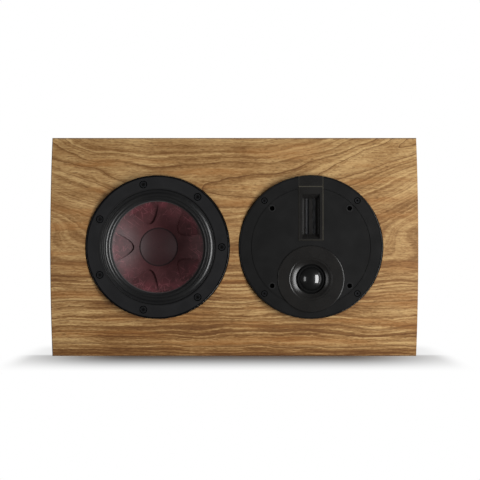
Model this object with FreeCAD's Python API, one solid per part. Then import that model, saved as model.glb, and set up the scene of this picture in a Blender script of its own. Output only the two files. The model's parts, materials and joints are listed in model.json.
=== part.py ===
import FreeCAD, Part
import math
import os

from FreeCAD import Vector

# On-wall speaker, in millimetres. While it is built, y is the depth behind the crest of the curved front,
# x runs to the right and z up from mid-height. save() moves each piece into the row's frame.

# Cabinet
cabinet_width = 454.0
cabinet_height = 272.0
cabinet_depth = 132.0
front_radius = 420.0
baffle_edge = 14.0
panel_thickness = 16.0
rear_panel_thickness = 15.0
rear_inset = 3.0
edge_round = 1.0
opening_bevel = 12.0
brace_thickness = 12.0
brace_border = 28.0
brace_corner = 14.0
felt_width = 150.0
felt_height = 190.0
felt_corner = 8.0
felt_gap = 12.0

# Both drivers: flange, seat and screws
driver_gap = 12.0
flange_radius = 88.5
flange_width = 17.9
flange_proud = 1.0
rim_round = 0.8
flange_plate = 4.0
flange_skirt = 3.5
seat_lip = 1.0
seat_clearance = 0.9
gasket_thickness = 1.0
gasket_inset = 0.6
body_wall = 3.0
opening_clearance = 0.8
hollow_wall = 1.2
boss_wall = 1.3
screw_sink = 1.0
screw_shank_radius = 2.0
screw_shank_length = 25.0
screw_clearance = 0.4
head_clearance = 1.2
pilot_clearance = 0.1
key_depth = 1.8

# Woofer
woofer_screw_count = 7
woofer_screw_inset = 9.4
woofer_head_radius = 3.6
woofer_head_height = 3.0
lip_round = 1.6
ledge_drop = 6.0
ledge_width = 4.9
ledge_thickness = 2.5
bead_width = 0.9
bead_clearance = 0.2
roll_width = 11.9
rubber_thickness = 0.8
rim_bead = 1.3
cone_depth = 28.0
cone_flare = 2.4
cone_thickness = 1.2
facet_count = 5
facet_tip_radius = 30.0
facet_end_inset = 2.5
facet_half_width = 19.0
facet_depth = 2.8
facet_wall = 1.2
facet_shoulder = 0.4
cap_radius = 23.4
cap_dish = 4.0
cap_thickness = 0.9
former_radius = 16.3
former_thickness = 0.4
coil_thickness = 1.0
coil_length = 14.0
gap_clearance = 0.9
spider_setback = 10.0
spider_radius = 45.0
spider_thickness = 0.5
spider_wave_count = 4
spider_wave_height = 1.3
shelf_width = 4.5
shelf_thickness = 2.5
motor_setback = 12.0
motor_seat_thickness = 3.0
motor_seat_margin = 9.0
leg_count = 6
leg_angle = 24.0
window_border = 4.0
vent_border = 1.0
top_plate_radius = 44.0
top_plate_thickness = 6.0
magnet_radius = 50.0
magnet_thickness = 17.0
magnet_bore_margin = 8.0
yoke_radius = 46.0
yoke_thickness = 6.0
vent_radius = 6.0
lug_width = 26.0
lug_length = 14.0
strip_thickness = 2.0
strip_margin = 2.0
tag_width = 5.0
tag_spacing = 12.0

# High-frequency module
tweeter_screw_count = 4
tweeter_screw_angle = 45.0
tweeter_screw_inset = 7.5
tweeter_head_radius = 2.8
tweeter_head_height = 2.6
ring_width = 14.9
cover_thickness = 2.0
cover_gap = 0.5
chassis_plate = 4.0
unit_gap = 0.4
socket_inset = 6.1
socket_bore = 3.0
socket_wall = 1.2
socket_depth = 10.0
socket_collar = 1.8
socket_collar_thickness = 1.5
fit_gap = 0.1
ribbon_proud = 0.6
strip_width = 30.4
strip_border = 1.7
strip_gap = 6.6
panel_reach = 1.0
panel_bevel_width = 0.5
panel_bevel_depth = 0.25
edge_bevel_width = 0.9
edge_bevel_depth = 0.47
mouth_width = 22.0
mouth_rim_margin = 22.9
mouth_taper = 11.6
ribbon_width = 17.5
ribbon_wall_side = 3.8
ribbon_wall_end = 6.4
slot_width = 4.8
slot_bar = 4.4
slot_plate_thickness = 1.5
film_thickness = 0.2
film_margin = 1.2
ribbon_frame_thickness = 3.0
ribbon_case_depth = 17.0
ribbon_case_wall = 2.5
ribbon_magnet_width = 4.0
ribbon_magnet_depth = 8.0
dome_rim_margin = 8.0
dome_socket_gap = 3.15
dome_plate_proud = 1.2
dome_border = 14.5
flare_shelf = 1.7
flare_hollow = 0.5
throat_length = 3.2
dome_recess = 5.2
dome_surround_gap = 4.4
dome_motor_share = 0.49
dome_height = 5.6
dome_roll_width = 3.0
dome_roll_height = 1.3
dome_cloth = 0.5
dome_clamp = 3.0
dome_motor_margin = 12.1
dome_motor_clearance = 0.8
dome_coil_thickness = 0.6
dome_coil_length = 4.0
dome_gap = 0.6
dome_plate_steel = 3.0
dome_magnet_thickness = 8.0
dome_magnet_margin = 3.0
dome_yoke_thickness = 4.0
dome_vent_radius = 5.0
chamber_margin = 5.0
chamber_length = 22.0
chamber_wall = 2.0

# Crossover and wiring
board_length = 150.0
board_width = 60.0
board_thickness = 1.6
spacer_height = 8.0
spacer_radius = 3.5
spacer_inset = 5.0
woofer_inductor_radius = 22.0
woofer_inductor_height = 20.0
tweeter_inductor_radius = 12.0
tweeter_inductor_height = 14.0
inductor_bore_share = 0.5
capacitor_radius = 8.0
capacitor_length = 34.0
capacitor_gap = 2.0
resistor_length = 38.0
resistor_side = 9.0
part_gap = 3.0
lead_radius = 1.4
lead_drop = 16.0
lead_run = 24.0
lead_bend_share = 0.45

# Rear fittings
cup_width = 78.0
cup_height = 56.0
cup_depth = 38.0
cup_wall = 2.5
cup_floor = 3.0
cup_flange = 9.0
cup_flange_thickness = 2.5
cup_corner = 8.0
cup_clearance = 0.5
cup_screw_inset = 4.5
cup_screw_length = 12.0
post_spacing = 38.0
post_collar_radius = 7.5
post_collar_thickness = 3.0
post_stud_radius = 4.0
post_stud_length = 22.0
post_tail_radius = 3.0
post_tail_length = 9.0
plug_bore_radius = 2.0
plug_bore_depth = 18.0
nut_radius = 6.0
nut_thickness = 4.5
knob_radius = 8.0
knob_clearance = 0.3
knob_flute_count = 10
knob_flute_radius = 1.3
knob_chamfer = 0.8
keyhole_inset = 61.0
keyhole_drop = 40.0
keyhole_plate_width = 32.0
keyhole_plate_height = 54.0
keyhole_plate_thickness = 2.0
keyhole_plate_corner = 4.0
keyhole_entry_radius = 5.0
keyhole_slot_radius = 2.5
keyhole_travel = 14.0
keyhole_pocket_margin = 3.0
keyhole_pocket_depth = 8.0
keyhole_screw_inset = 6.0
keyhole_screw_length = 10.0
small_head_radius = 3.4
small_head_height = 1.6
small_shank_radius = 1.5
pad_radius = 8.0
pad_proud = 2.0
pad_inset = 18.0

# Places that follow from the sizes
half_width = cabinet_width / 2
half_height = cabinet_height / 2
inner_half_width = half_width - panel_thickness
inner_half_height = half_height - panel_thickness
rear_face = cabinet_depth - rear_inset
rear_panel_front = rear_face - rear_panel_thickness
driver_offset = flange_radius + driver_gap / 2
woofer_x = -driver_offset
tweeter_x = driver_offset
flange_front = -flange_proud
lip_radius = flange_radius - flange_width
body_radius = lip_radius + body_wall
opening_radius = body_radius + opening_clearance
seat_radius = flange_radius + seat_clearance
past = 1.0


def front_drop(height):
    return front_radius - math.sqrt(front_radius ** 2 - height ** 2)


baffle_back = front_drop(half_height) + baffle_edge
seat_depth = front_drop(seat_radius) + seat_lip
flange_back = seat_depth - gasket_thickness


# Shapes that the pieces share
def disc(radius, front, back, x=0.0, z=0.0):
    return Part.makeCylinder(radius, back - front, Vector(x, front, z), Vector(0, 1, 0))


def tube(outer, inner, front, back, x=0.0, z=0.0):
    return disc(outer, front, back, x, z).cut(disc(inner, front, back, x, z))


def block(x_low, x_high, front, back, z_low, z_high):
    corner = Vector(x_low, front, z_low)
    return Part.makeBox(x_high - x_low, back - front, z_high - z_low, corner)


def slab(width, height, front, back, x=0.0, z=0.0, corner=0.0):
    body = block(x - width / 2, x + width / 2, front, back, z - height / 2, z + height / 2)
    if corner <= 0:
        return body
    along = [edge for edge in body.Edges if abs(edge.tangentAt(edge.FirstParameter).y) > 0.5]
    return body.makeFillet(corner, along)


def outline(steps):
    # A step is a corner, or a pair of points: where an arc passes and where it ends
    edges = []
    start = steps[0]
    for step in steps[1:] + steps[:1]:
        here = Vector(start[0], start[1], 0)
        if isinstance(step[0], tuple):
            via, end = step
            edges.append(Part.Arc(here, Vector(via[0], via[1], 0), Vector(end[0], end[1], 0)).toShape())
        else:
            end = step
            if end != start:
                edges.append(Part.LineSegment(here, Vector(end[0], end[1], 0)).toShape())
        start = end
    return Part.Face(Part.Wire(edges))


def turned(steps, x=0.0, z=0.0, start_angle=0.0, sweep=360.0):
    # A profile of radius and depth turned about an axis that runs front to back
    axis = Vector(0, 1, 0)
    solid = outline(steps).revolve(Vector(0, 0, 0), axis, sweep)
    solid.rotate(Vector(0, 0, 0), axis, start_angle)
    solid.translate(Vector(x, 0, z))
    return solid


def around(count, radius, first_angle=0.0):
    for number in range(count):
        angle = math.radians(first_angle + number * 360.0 / count)
        yield radius * math.cos(angle), radius * math.sin(angle)


def joined(solids):
    return solids[0].multiFuse(solids[1:]).removeSplitter()


def hexagon(radius, front, back, x, z):
    corners = [Vector(x + a, front, z + b) for a, b in around(6, radius)]
    face = Part.Face(Part.makePolygon(corners + corners[:1]))
    return face.extrude(Vector(0, back - front, 0))


def socket_screw(head_radius, head_height, front, x, z):
    head_back = front + head_height
    head = disc(head_radius, front, head_back, x, z)
    shank = disc(screw_shank_radius, head_back, head_back + screw_shank_length, x, z)
    return head.fuse(shank).cut(hexagon(head_radius / 2, front, front + key_depth, x, z))


def countersunk_screw(front, inward, length, x, z):
    # A small screw whose flat head lies in the plane y = front and points along inward, +1 or -1 in y
    head = [(0, 0), (small_head_radius, 0), (small_shank_radius, small_head_height)]
    shank = [(small_shank_radius, length), (0, length)]
    steps = [(radius, depth * inward) for radius, depth in head + shank]
    solid = turned(steps, x, z)
    solid.translate(Vector(0, front, 0))
    return solid


def lead(points):
    # A lead through hand-chosen points, each corner an arc as large as its two runs allow
    path = [Vector(*point) for point in points]
    edges = []
    start = path[0]
    for before, corner, after in zip(path, path[1:], path[2:]):
        into = corner - before
        out = after - corner
        half_turn = into.getAngle(out) / 2
        reach = lead_bend_share * min(into.Length, out.Length)
        bend = reach / math.tan(half_turn)
        first = corner - into.normalize() * reach
        last = corner + out.normalize() * reach
        middle = corner + (out - into).normalize() * (bend / math.cos(half_turn) - bend)
        edges.append(Part.LineSegment(start, first).toShape())
        edges.append(Part.Arc(first, middle, last).toShape())
        start = last
    edges.append(Part.LineSegment(start, path[-1]).toShape())
    section = Part.Wire(Part.makeCircle(lead_radius, path[0], path[1] - path[0]))
    return Part.Wire(edges).makePipeShell([section], True, False)


pieces = {}


# Driver flanges: what the cast parts of both drivers share
def round_via(corner_radius, corner_depth, out, back):
    # Where a quarter round passes, from the corner that it takes off and its reach along radius and depth
    share = 1 - math.cos(math.pi / 4)
    return corner_radius + out * share, corner_depth + back * share


def flange_steps(inner_steps):
    rim_start = flange_front + rim_round
    rim_via = round_via(flange_radius, flange_front, -rim_round, rim_round)
    rim = [
        (flange_radius, flange_back),
        (flange_radius, rim_start),
        (rim_via, (flange_radius - rim_round, flange_front)),
    ]
    return rim + inner_steps


def flange_with_screws(body, x, count, first_angle, inset, head_radius, head_height):
    # Hollow behind the flange's face, with a boss and a counterbored hole for each screw
    hollow = tube(flange_radius - flange_skirt, body_radius + hollow_wall,
                  flange_front + flange_plate, flange_back + past, x)
    head_back = flange_front + screw_sink + head_height
    for a, b in around(count, flange_radius - inset, first_angle):
        boss_radius = head_radius + head_clearance + boss_wall
        boss = disc(boss_radius, flange_front + flange_plate / 2, flange_back + past, x + a, b)
        hollow = hollow.cut(boss)
    body = body.cut(hollow)
    for a, b in around(count, flange_radius - inset, first_angle):
        bore = disc(head_radius + head_clearance, flange_front - past, head_back, x + a, b)
        hole = disc(screw_shank_radius + screw_clearance, head_back, flange_back + past, x + a, b)
        body = body.cut(bore.fuse(hole))
    return body


def flange_screws(x, count, first_angle, inset, head_radius, head_height):
    places = around(count, flange_radius - inset, first_angle)
    front = flange_front + screw_sink
    return [socket_screw(head_radius, head_height, front, x + a, b) for a, b in places]


def flange_gasket(x, count, first_angle, inset):
    gasket = tube(flange_radius - gasket_inset, opening_radius + gasket_inset, flange_back, seat_depth, x)
    for a, b in around(count, flange_radius - inset, first_angle):
        gasket = gasket.cut(disc(screw_shank_radius + screw_clearance, flange_back, seat_depth, x + a, b))
    return gasket


def pilot_holes(x, count, first_angle, inset):
    radius = screw_shank_radius + pilot_clearance
    places = around(count, flange_radius - inset, first_angle)
    return [disc(radius, seat_depth - past, baffle_back + past, x + a, b) for a, b in places]


woofer_fixing = (woofer_x, woofer_screw_count, 0.0, woofer_screw_inset)
tweeter_fixing = (tweeter_x, tweeter_screw_count, tweeter_screw_angle, tweeter_screw_inset)


# Cabinet
def front_baffle():
    edge = front_drop(half_height)
    corners = [Vector(-half_width, edge, -half_height), Vector(-half_width, edge, half_height)]
    backs = [Vector(-half_width, baffle_back, half_height), Vector(-half_width, baffle_back, -half_height)]
    crest = Part.Arc(corners[0], Vector(-half_width, 0, 0), corners[1]).toShape()
    sides = Part.makePolygon([corners[1], backs[0], backs[1], corners[0]])
    board = Part.Face(Part.Wire([crest] + sides.Edges)).extrude(Vector(cabinet_width, 0, 0))
    curved = [face for face in board.Faces if isinstance(face.Surface, Part.Cylinder)][0]
    board = board.makeFillet(edge_round, curved.Edges)
    for x in (woofer_x, tweeter_x):
        board = board.cut(disc(seat_radius, -past, seat_depth, x))
        board = board.cut(disc(opening_radius, -past, baffle_back + past, x))
    bevel = [
        (0, baffle_back - opening_bevel),
        (opening_radius, baffle_back - opening_bevel),
        (opening_radius + opening_bevel, baffle_back),
        (0, baffle_back),
    ]
    board = board.cut(turned(bevel, woofer_x))
    return board.cut(pilot_holes(*woofer_fixing) + pilot_holes(*tweeter_fixing))


def cabinet():
    level = (baffle_back, cabinet_depth)
    pieces["front_baffle"] = front_baffle()
    pieces["top_panel"] = block(-half_width, half_width, *level, inner_half_height, half_height)
    pieces["bottom_panel"] = block(-half_width, half_width, *level, -half_height, -inner_half_height)
    upright = (-inner_half_height, inner_half_height)
    pieces["left_end_panel"] = block(-half_width, -inner_half_width, *level, *upright)
    pieces["right_end_panel"] = block(inner_half_width, half_width, *level, *upright)


def cabinet_brace():
    half = brace_thickness / 2
    board = block(-half, half, baffle_back, rear_panel_front, -inner_half_height, inner_half_height)
    depth = rear_panel_front - baffle_back - brace_border
    height = (2 * inner_half_height - 3 * brace_border) / 2
    middle = (rear_panel_front + baffle_back) / 2
    for side in (1, -1):
        window = slab(depth, height, -half, half, middle, side * (height + brace_border) / 2, brace_corner)
        window.rotate(Vector(0, 0, 0), Vector(0, 0, 1), 90)
        board = board.cut(window)
    pieces["cabinet_brace"] = board


def damping_felt():
    level = (motor_back + felt_gap, rear_panel_front)
    pieces["damping_felt"] = slab(felt_width, felt_height, *level, woofer_x, 0.0, felt_corner)


# Woofer
ledge = flange_front + ledge_drop
bead_front = ledge - rubber_thickness
ledge_radius = lip_radius - ledge_width
surround_radius = lip_radius - bead_clearance
roll_outer = surround_radius - bead_width
roll_inner = roll_outer - roll_width
roll_middle = (roll_outer + roll_inner) / 2
cone_face_radius = roll_inner - rim_bead
cone_rim_radius = roll_inner + rubber_thickness
neck = ledge + cone_depth
shelf = neck + spider_setback
motor_front = shelf + motor_setback
magnet_front = motor_front + top_plate_thickness
yoke_front = magnet_front + magnet_thickness
motor_back = yoke_front + yoke_thickness
basket_rear_radius = spider_radius + past + body_wall
plate_bore = former_radius + coil_thickness + gap_clearance
pole_radius = former_radius - former_thickness - gap_clearance
coil_middle = motor_front + top_plate_thickness / 2


def woofer_basket():
    wall_start = ledge + ledge_thickness + ledge_width
    inner_rear = basket_rear_radius - body_wall
    seat_front = motor_front - motor_seat_thickness
    seat_bore = plate_bore + motor_seat_margin
    shelf_radius = spider_radius - shelf_width
    body = turned(flange_steps([
        (lip_radius + lip_round, flange_front),
        (round_via(lip_radius, flange_front, lip_round, lip_round), (lip_radius, flange_front + lip_round)),
        (lip_radius, ledge),
        (ledge_radius, ledge),
        (ledge_radius, ledge + ledge_thickness),
        (lip_radius, wall_start),
        (inner_rear, shelf),
        (shelf_radius, shelf),
        (shelf_radius, shelf + shelf_thickness),
        (inner_rear, shelf + shelf_thickness),
        (inner_rear, seat_front),
        (seat_bore, seat_front),
        (seat_bore, motor_front),
        (basket_rear_radius, motor_front),
        (basket_rear_radius, shelf + shelf_thickness),
        (body_radius, wall_start),
        (body_radius, flange_back),
    ]), woofer_x)
    body = flange_with_screws(body, *woofer_fixing, woofer_head_radius, woofer_head_height)
    window_levels = [
        (shelf_radius, wall_start + window_border, shelf - window_border / 2),
        (inner_rear - past, shelf + shelf_thickness + vent_border, seat_front - vent_border),
    ]
    step = 360.0 / leg_count
    for number in range(leg_count):
        for inner, low, high in window_levels:
            opening = [(inner, low), (body_radius + past, low), (body_radius + past, high), (inner, high)]
            first = number * step + leg_angle / 2
            body = body.cut(turned(opening, woofer_x, 0.0, first, step - leg_angle))
    lug_top = -basket_rear_radius + body_wall / 2
    lug = block(woofer_x - lug_width / 2, woofer_x + lug_width / 2, seat_front, motor_front,
                lug_top - lug_length, lug_top)
    pieces["woofer_basket"] = joined([body, lug])
    strip_top = -basket_rear_radius - strip_margin
    strip_low = lug_top - lug_length
    strip = [block(woofer_x - lug_width / 2, woofer_x + lug_width / 2, motor_front,
                   motor_front + strip_thickness, strip_low, strip_top)]
    for side in (-1, 1):
        middle = woofer_x + side * tag_spacing / 2
        strip.append(block(middle - tag_width / 2, middle + tag_width / 2, motor_front + strip_thickness,
                           motor_front + 2 * strip_thickness, strip_low, strip_top - strip_margin))
    pieces["woofer_terminal_strip"] = joined(strip)


def woofer_surround():
    crown = roll_width / 2
    inside = crown - rubber_thickness
    pieces["woofer_surround"] = turned([
        (surround_radius, ledge),
        (surround_radius, bead_front),
        (roll_outer, bead_front),
        ((roll_middle, bead_front - crown), (roll_inner, bead_front)),
        (cone_face_radius, bead_front),
        (cone_face_radius, ledge),
        (cone_rim_radius, ledge),
        (cone_rim_radius, bead_front),
        ((roll_middle, bead_front - inside), (roll_outer - rubber_thickness, bead_front)),
        (roll_outer - rubber_thickness, ledge),
    ], woofer_x)


def cone_front_depth(radius):
    # Depth of the flared face: an arc from rim to neck that stands cone_flare in front of a straight slope
    slope_width = cone_face_radius - former_radius
    slope_length = math.hypot(slope_width, cone_depth)
    arc_radius = (slope_length ** 2 / 4 + cone_flare ** 2) / (2 * cone_flare)
    back = (arc_radius - cone_flare) / slope_length
    centre_radius = (cone_face_radius + former_radius) / 2 + back * cone_depth
    centre_depth = ledge + cone_depth / 2 + back * slope_width
    return centre_depth - math.sqrt(arc_radius ** 2 - (radius - centre_radius) ** 2)


def flared(shift, outer, inner):
    middle = (outer + inner) / 2
    via = (middle, cone_front_depth(middle) + shift)
    return via, (inner, cone_front_depth(inner) + shift)


def woofer_cone():
    back = ledge + cone_thickness
    cone = turned([
        (cone_rim_radius, back),
        (cone_rim_radius, ledge),
        (cone_face_radius, ledge),
        flared(0.0, cone_face_radius, former_radius),
        (former_radius, neck + cone_thickness),
        flared(cone_thickness, former_radius, cone_face_radius),
    ], woofer_x)
    facet_end = cone_face_radius - facet_end_inset
    facet_start = (facet_tip_radius + former_radius) / 2
    middle = (facet_end + facet_start) / 2
    end_depth = cone_front_depth(facet_end)
    start_depth = cone_front_depth(facet_start)
    pressed = [
        (facet_end, end_depth),
        flared(0.0, facet_end, facet_start),
        (facet_start, start_depth + facet_depth),
        ((middle, cone_front_depth(middle) + facet_depth), (facet_end, end_depth)),
    ]
    layer = turned(pressed, woofer_x)
    behind = layer.translated(Vector(0, cone_thickness, 0))
    petals = facet_petals(0.0)
    walls = joined([layer, behind]).common(facet_petals(facet_wall))
    pieces["woofer_cone"] = cone.fuse(walls).cut(layer.common(petals)).removeSplitter()


def facet_petals(margin):
    return joined([facet_petal(a, b, margin) for a, b in around(facet_count, 1.0, 180.0)])


def facet_petal(along_x, along_z, margin):
    # A rounded wedge, tip to the centre, that presses a facet into the cone
    tip = facet_tip_radius - margin
    reach = cone_face_radius - tip
    sides = ((1.0, -1), (facet_shoulder, -1), (0.0, 0), (facet_shoulder, 1), (1.0, 1))
    points = []
    for share, side in sides:
        out = tip + reach * share
        across = side * (facet_half_width + margin) * math.sqrt(share)
        x = woofer_x + out * along_x - across * along_z
        points.append(Vector(x, 0, out * along_z + across * along_x))
    curve = Part.BSplineCurve()
    curve.interpolate(points)
    face = Part.Face(Part.Wire([curve.toShape(), Part.LineSegment(points[-1], points[0]).toShape()]))
    return face.extrude(Vector(0, motor_front, 0))


def dome_arc(radius, height, base, share):
    # Depth of a spherical cap at a share of its radius from the axis
    ball = (radius ** 2 + height ** 2) / (2 * height)
    return base - height + ball - math.sqrt(ball ** 2 - (radius * share) ** 2)


def woofer_dust_cap():
    # A dished cap, whose edge stands on the cone
    rim = cone_front_depth(cap_radius)
    edge = rim - cap_thickness
    floor = edge + cap_dish
    half_way = 2 * edge - dome_arc(cap_radius, cap_dish, edge, 0.5)
    pieces["woofer_dust_cap"] = turned([
        (0, floor),
        ((cap_radius / 2, half_way), (cap_radius, edge)),
        (cap_radius, rim),
        ((cap_radius / 2, half_way + cap_thickness), (0, floor + cap_thickness)),
    ], woofer_x)


def woofer_coil():
    coil_front = coil_middle - coil_length / 2
    coil_back = coil_middle + coil_length / 2
    inner = former_radius - former_thickness
    pieces["woofer_coil_former"] = tube(former_radius, inner, neck, coil_back, woofer_x)
    winding = former_radius + coil_thickness
    pieces["woofer_voice_coil"] = tube(winding, former_radius, coil_front, coil_back, woofer_x)


def woofer_spider():
    # Corrugated cloth from the coil former to the basket's shelf
    rim = spider_radius - shelf_width
    pitch = (rim - former_radius) / (2 * spider_wave_count)
    back = shelf
    front = shelf - spider_thickness
    face = [(former_radius, front)]
    rear = [(former_radius, back)]
    for number in range(2 * spider_wave_count):
        swing = spider_wave_height if number % 2 else -spider_wave_height
        middle = former_radius + (number + 0.5) * pitch
        end = former_radius + (number + 1) * pitch
        face.append(((middle, front + swing), (end, front)))
        rear.append((middle, back + swing, end))
    steps = face + [(spider_radius, front), (spider_radius, back), (rim, back)]
    for middle, depth, end in reversed(rear[1:]):
        steps.append(((middle, depth), (end - pitch, back)))
    pieces["woofer_spider"] = turned(steps, woofer_x)


def woofer_motor():
    magnet_bore = plate_bore + magnet_bore_margin
    pieces["woofer_top_plate"] = tube(top_plate_radius, plate_bore, motor_front, magnet_front, woofer_x)
    pieces["woofer_magnet"] = tube(magnet_radius, magnet_bore, magnet_front, yoke_front, woofer_x)
    pieces["woofer_yoke"] = turned([
        (vent_radius, motor_front),
        (pole_radius, motor_front),
        (pole_radius, yoke_front),
        (yoke_radius, yoke_front),
        (yoke_radius, motor_back),
        (vent_radius, motor_back),
    ], woofer_x)


def woofer():
    woofer_basket()
    woofer_surround()
    woofer_cone()
    woofer_dust_cap()
    woofer_coil()
    woofer_spider()
    woofer_motor()
    pieces["woofer_gasket"] = flange_gasket(*woofer_fixing)
    screws = flange_screws(*woofer_fixing, woofer_head_radius, woofer_head_height)
    pieces["woofer_screws"] = Part.makeCompound(screws)


# High-frequency module
unit_seat = flange_front + cover_thickness
chassis_back = unit_seat + chassis_plate
recess_radius = flange_radius - ring_width
socket_radius = socket_bore + socket_wall
socket_offset = (recess_radius - socket_inset) * math.sin(math.radians(tweeter_screw_angle))

# The dome's plate ends dome_rim_margin inside the rim and passes the lower sockets with dome_socket_gap
dome_low = flange_radius - dome_rim_margin
below_sockets = dome_low - socket_offset
socket_reach = socket_radius + dome_socket_gap
spread = socket_offset ** 2 + below_sockets ** 2 - socket_reach ** 2
dome_plate_radius = spread / (2 * (socket_reach + below_sockets))
dome_drop = dome_low - dome_plate_radius
flare_rim_radius = dome_plate_radius - dome_border
dome_motor_radius = dome_plate_radius - dome_motor_margin
dome_radius = dome_motor_radius * dome_motor_share
throat_radius = dome_radius + dome_surround_gap
chamber_radius = dome_motor_radius - chamber_margin
strip_low = dome_plate_radius - dome_drop + strip_gap
panel_top = recess_radius + panel_reach
mouth_low = strip_low + strip_border
mouth_height = flange_radius - mouth_rim_margin - mouth_low
ribbon_height = mouth_height - mouth_taper
ribbon_rise = mouth_low + mouth_height / 2
case_width = ribbon_width + 2 * ribbon_wall_side
case_height = ribbon_height + 2 * ribbon_wall_end
dome_base = flange_front + dome_recess
dome_hole_radius = dome_motor_radius + dome_motor_clearance


def socket_places():
    for side in (-1, 1):
        for level in (-1, 1):
            yield tweeter_x + side * socket_offset, level * socket_offset


def strip_body(front, back, gap):
    # The ribbon's strip runs up to the rim of the module and ends in its circle
    half = strip_width / 2 + gap
    strip = block(tweeter_x - half, tweeter_x + half, front, back, strip_low - gap, flange_radius)
    return strip.common(disc(flange_radius, front, back, tweeter_x))


def tweeter_chassis():
    body = turned(flange_steps([
        (recess_radius, flange_front),
        (recess_radius, unit_seat),
        (0, unit_seat),
        (0, chassis_back),
        (body_radius, chassis_back),
        (body_radius, flange_back),
    ]), tweeter_x)
    body = flange_with_screws(body, *tweeter_fixing, tweeter_head_radius, tweeter_head_height)
    body = body.cut(strip_body(flange_front - past, unit_seat, unit_gap))
    body = body.cut(disc(dome_plate_radius + unit_gap, flange_front - past, unit_seat, tweeter_x, -dome_drop))
    body = body.cut(disc(dome_hole_radius, unit_seat - past, chassis_back + past, tweeter_x, -dome_drop))
    case = slab(case_width + 2 * unit_gap, case_height + 2 * unit_gap, unit_seat - past, chassis_back + past,
                tweeter_x, ribbon_rise)
    body = body.cut(case)
    for x, z in socket_places():
        body = body.cut(disc(socket_radius + fit_gap, unit_seat - past, chassis_back + past, x, z))
    pieces["tweeter_chassis"] = body


def tweeter_cover_plate():
    plate = disc(recess_radius - cover_gap, flange_front, unit_seat, tweeter_x)
    plate = plate.cut(strip_body(flange_front, unit_seat, unit_gap))
    plate = plate.cut(disc(dome_plate_radius + unit_gap, flange_front, unit_seat, tweeter_x, -dome_drop))
    for x, z in socket_places():
        plate = plate.cut(disc(socket_radius + fit_gap, flange_front, unit_seat, x, z))
    pieces["tweeter_cover_plate"] = plate


def grille_sockets():
    sockets = []
    end = flange_front + socket_depth + socket_wall
    for x, z in socket_places():
        body = disc(socket_radius, flange_front, end, x, z)
        collar_back = chassis_back + socket_collar_thickness
        collar = disc(socket_radius + socket_collar, chassis_back, collar_back, x, z)
        bore = disc(socket_bore, flange_front, flange_front + socket_depth, x, z)
        sockets.append(body.fuse(collar).cut(bore))
    pieces["grille_sockets"] = Part.makeCompound(sockets)


def ribbon_bezel():
    # A raised panel round the mouth, on a strip that runs on to the rim
    front = flange_front - ribbon_proud
    half = strip_width / 2
    panel = block(tweeter_x - half, tweeter_x + half, front + panel_bevel_depth, unit_seat, strip_low, panel_top)
    face = min(panel.Faces, key=lambda side: side.BoundBox.YMax)
    bevel_top = face.OuterWire.makeOffset2D(-panel_bevel_width, 2)
    bevel_top.translate(Vector(0, -panel_bevel_depth, 0))
    panel = panel.fuse(Part.makeLoft([face.OuterWire, bevel_top], True, True))
    strip = strip_body(flange_front, unit_seat, 0.0).fuse(panel)
    back = slab(case_width, case_height, unit_seat, chassis_back, tweeter_x, ribbon_rise)
    mouth = []
    ends = ((mouth_width, mouth_height, front), (ribbon_width, ribbon_height, chassis_back))
    for width, height, depth in ends:
        face = slab(width, height, depth, depth + past, tweeter_x, ribbon_rise).Faces
        mouth.append([side for side in face if side.BoundBox.YMax < depth + past / 2][0].OuterWire)
    flare = Part.makeLoft(mouth, True, True)
    pieces["ribbon_bezel"] = strip.fuse(back).removeSplitter().cut(flare)


def ribbon_stack():
    place = (tweeter_x, ribbon_rise)
    plate_back = chassis_back + slot_plate_thickness
    plate = slab(case_width, case_height, chassis_back, plate_back, *place)
    for side in (-1, 1):
        slot_x = tweeter_x + side * (slot_bar + slot_width) / 2
        plate = plate.cut(slab(slot_width, ribbon_height, chassis_back, plate_back, slot_x, ribbon_rise))
    pieces["ribbon_slot_plate"] = plate
    film_width = slot_bar + 2 * slot_width + 2 * film_margin
    film_height = ribbon_height + 2 * film_margin
    film_back = plate_back + film_thickness
    film = slab(film_width + film_margin, film_height + film_margin, plate_back, film_back, *place)
    pieces["ribbon_film"] = film
    frame_back = film_back + ribbon_frame_thickness
    frame = slab(case_width, case_height, film_back, frame_back, *place)
    pieces["ribbon_frame"] = frame.cut(slab(film_width, film_height, film_back, frame_back, *place))
    case_back = frame_back + ribbon_case_depth
    case = slab(case_width, case_height, frame_back, case_back, *place)
    floor = case_back - ribbon_case_wall
    inner_width = case_width - 2 * ribbon_case_wall
    inner_height = case_height - 2 * ribbon_case_wall
    pieces["ribbon_housing"] = case.cut(slab(inner_width, inner_height, frame_back, floor, *place))
    bars = []
    pitch = (inner_width - ribbon_magnet_width) / 2 - unit_gap
    for number in (-1, 0, 1):
        bars.append(slab(ribbon_magnet_width, ribbon_height, floor - ribbon_magnet_depth, floor,
                         tweeter_x + number * pitch, ribbon_rise))
    pieces["ribbon_magnets"] = Part.makeCompound(bars)


def dome_plate():
    front = flange_front - dome_plate_proud
    bevel_back = front + edge_bevel_depth
    flare_radius = flare_rim_radius - edge_bevel_width - flare_shelf
    throat_front = dome_base - throat_length
    middle_radius = (flare_radius + throat_radius) / 2 - flare_hollow
    middle = (middle_radius, (bevel_back + throat_front) / 2 + flare_hollow)
    pieces["dome_plate"] = turned([
        (dome_plate_radius, unit_seat),
        (dome_plate_radius, bevel_back),
        (dome_plate_radius - edge_bevel_width, front),
        (flare_rim_radius, front),
        (flare_rim_radius - edge_bevel_width, bevel_back),
        (flare_radius, bevel_back),
        (middle, (throat_radius, throat_front)),
        (throat_radius, dome_base),
        (dome_motor_radius, dome_base),
        (dome_motor_radius, unit_seat),
    ], tweeter_x, -dome_drop)


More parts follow.
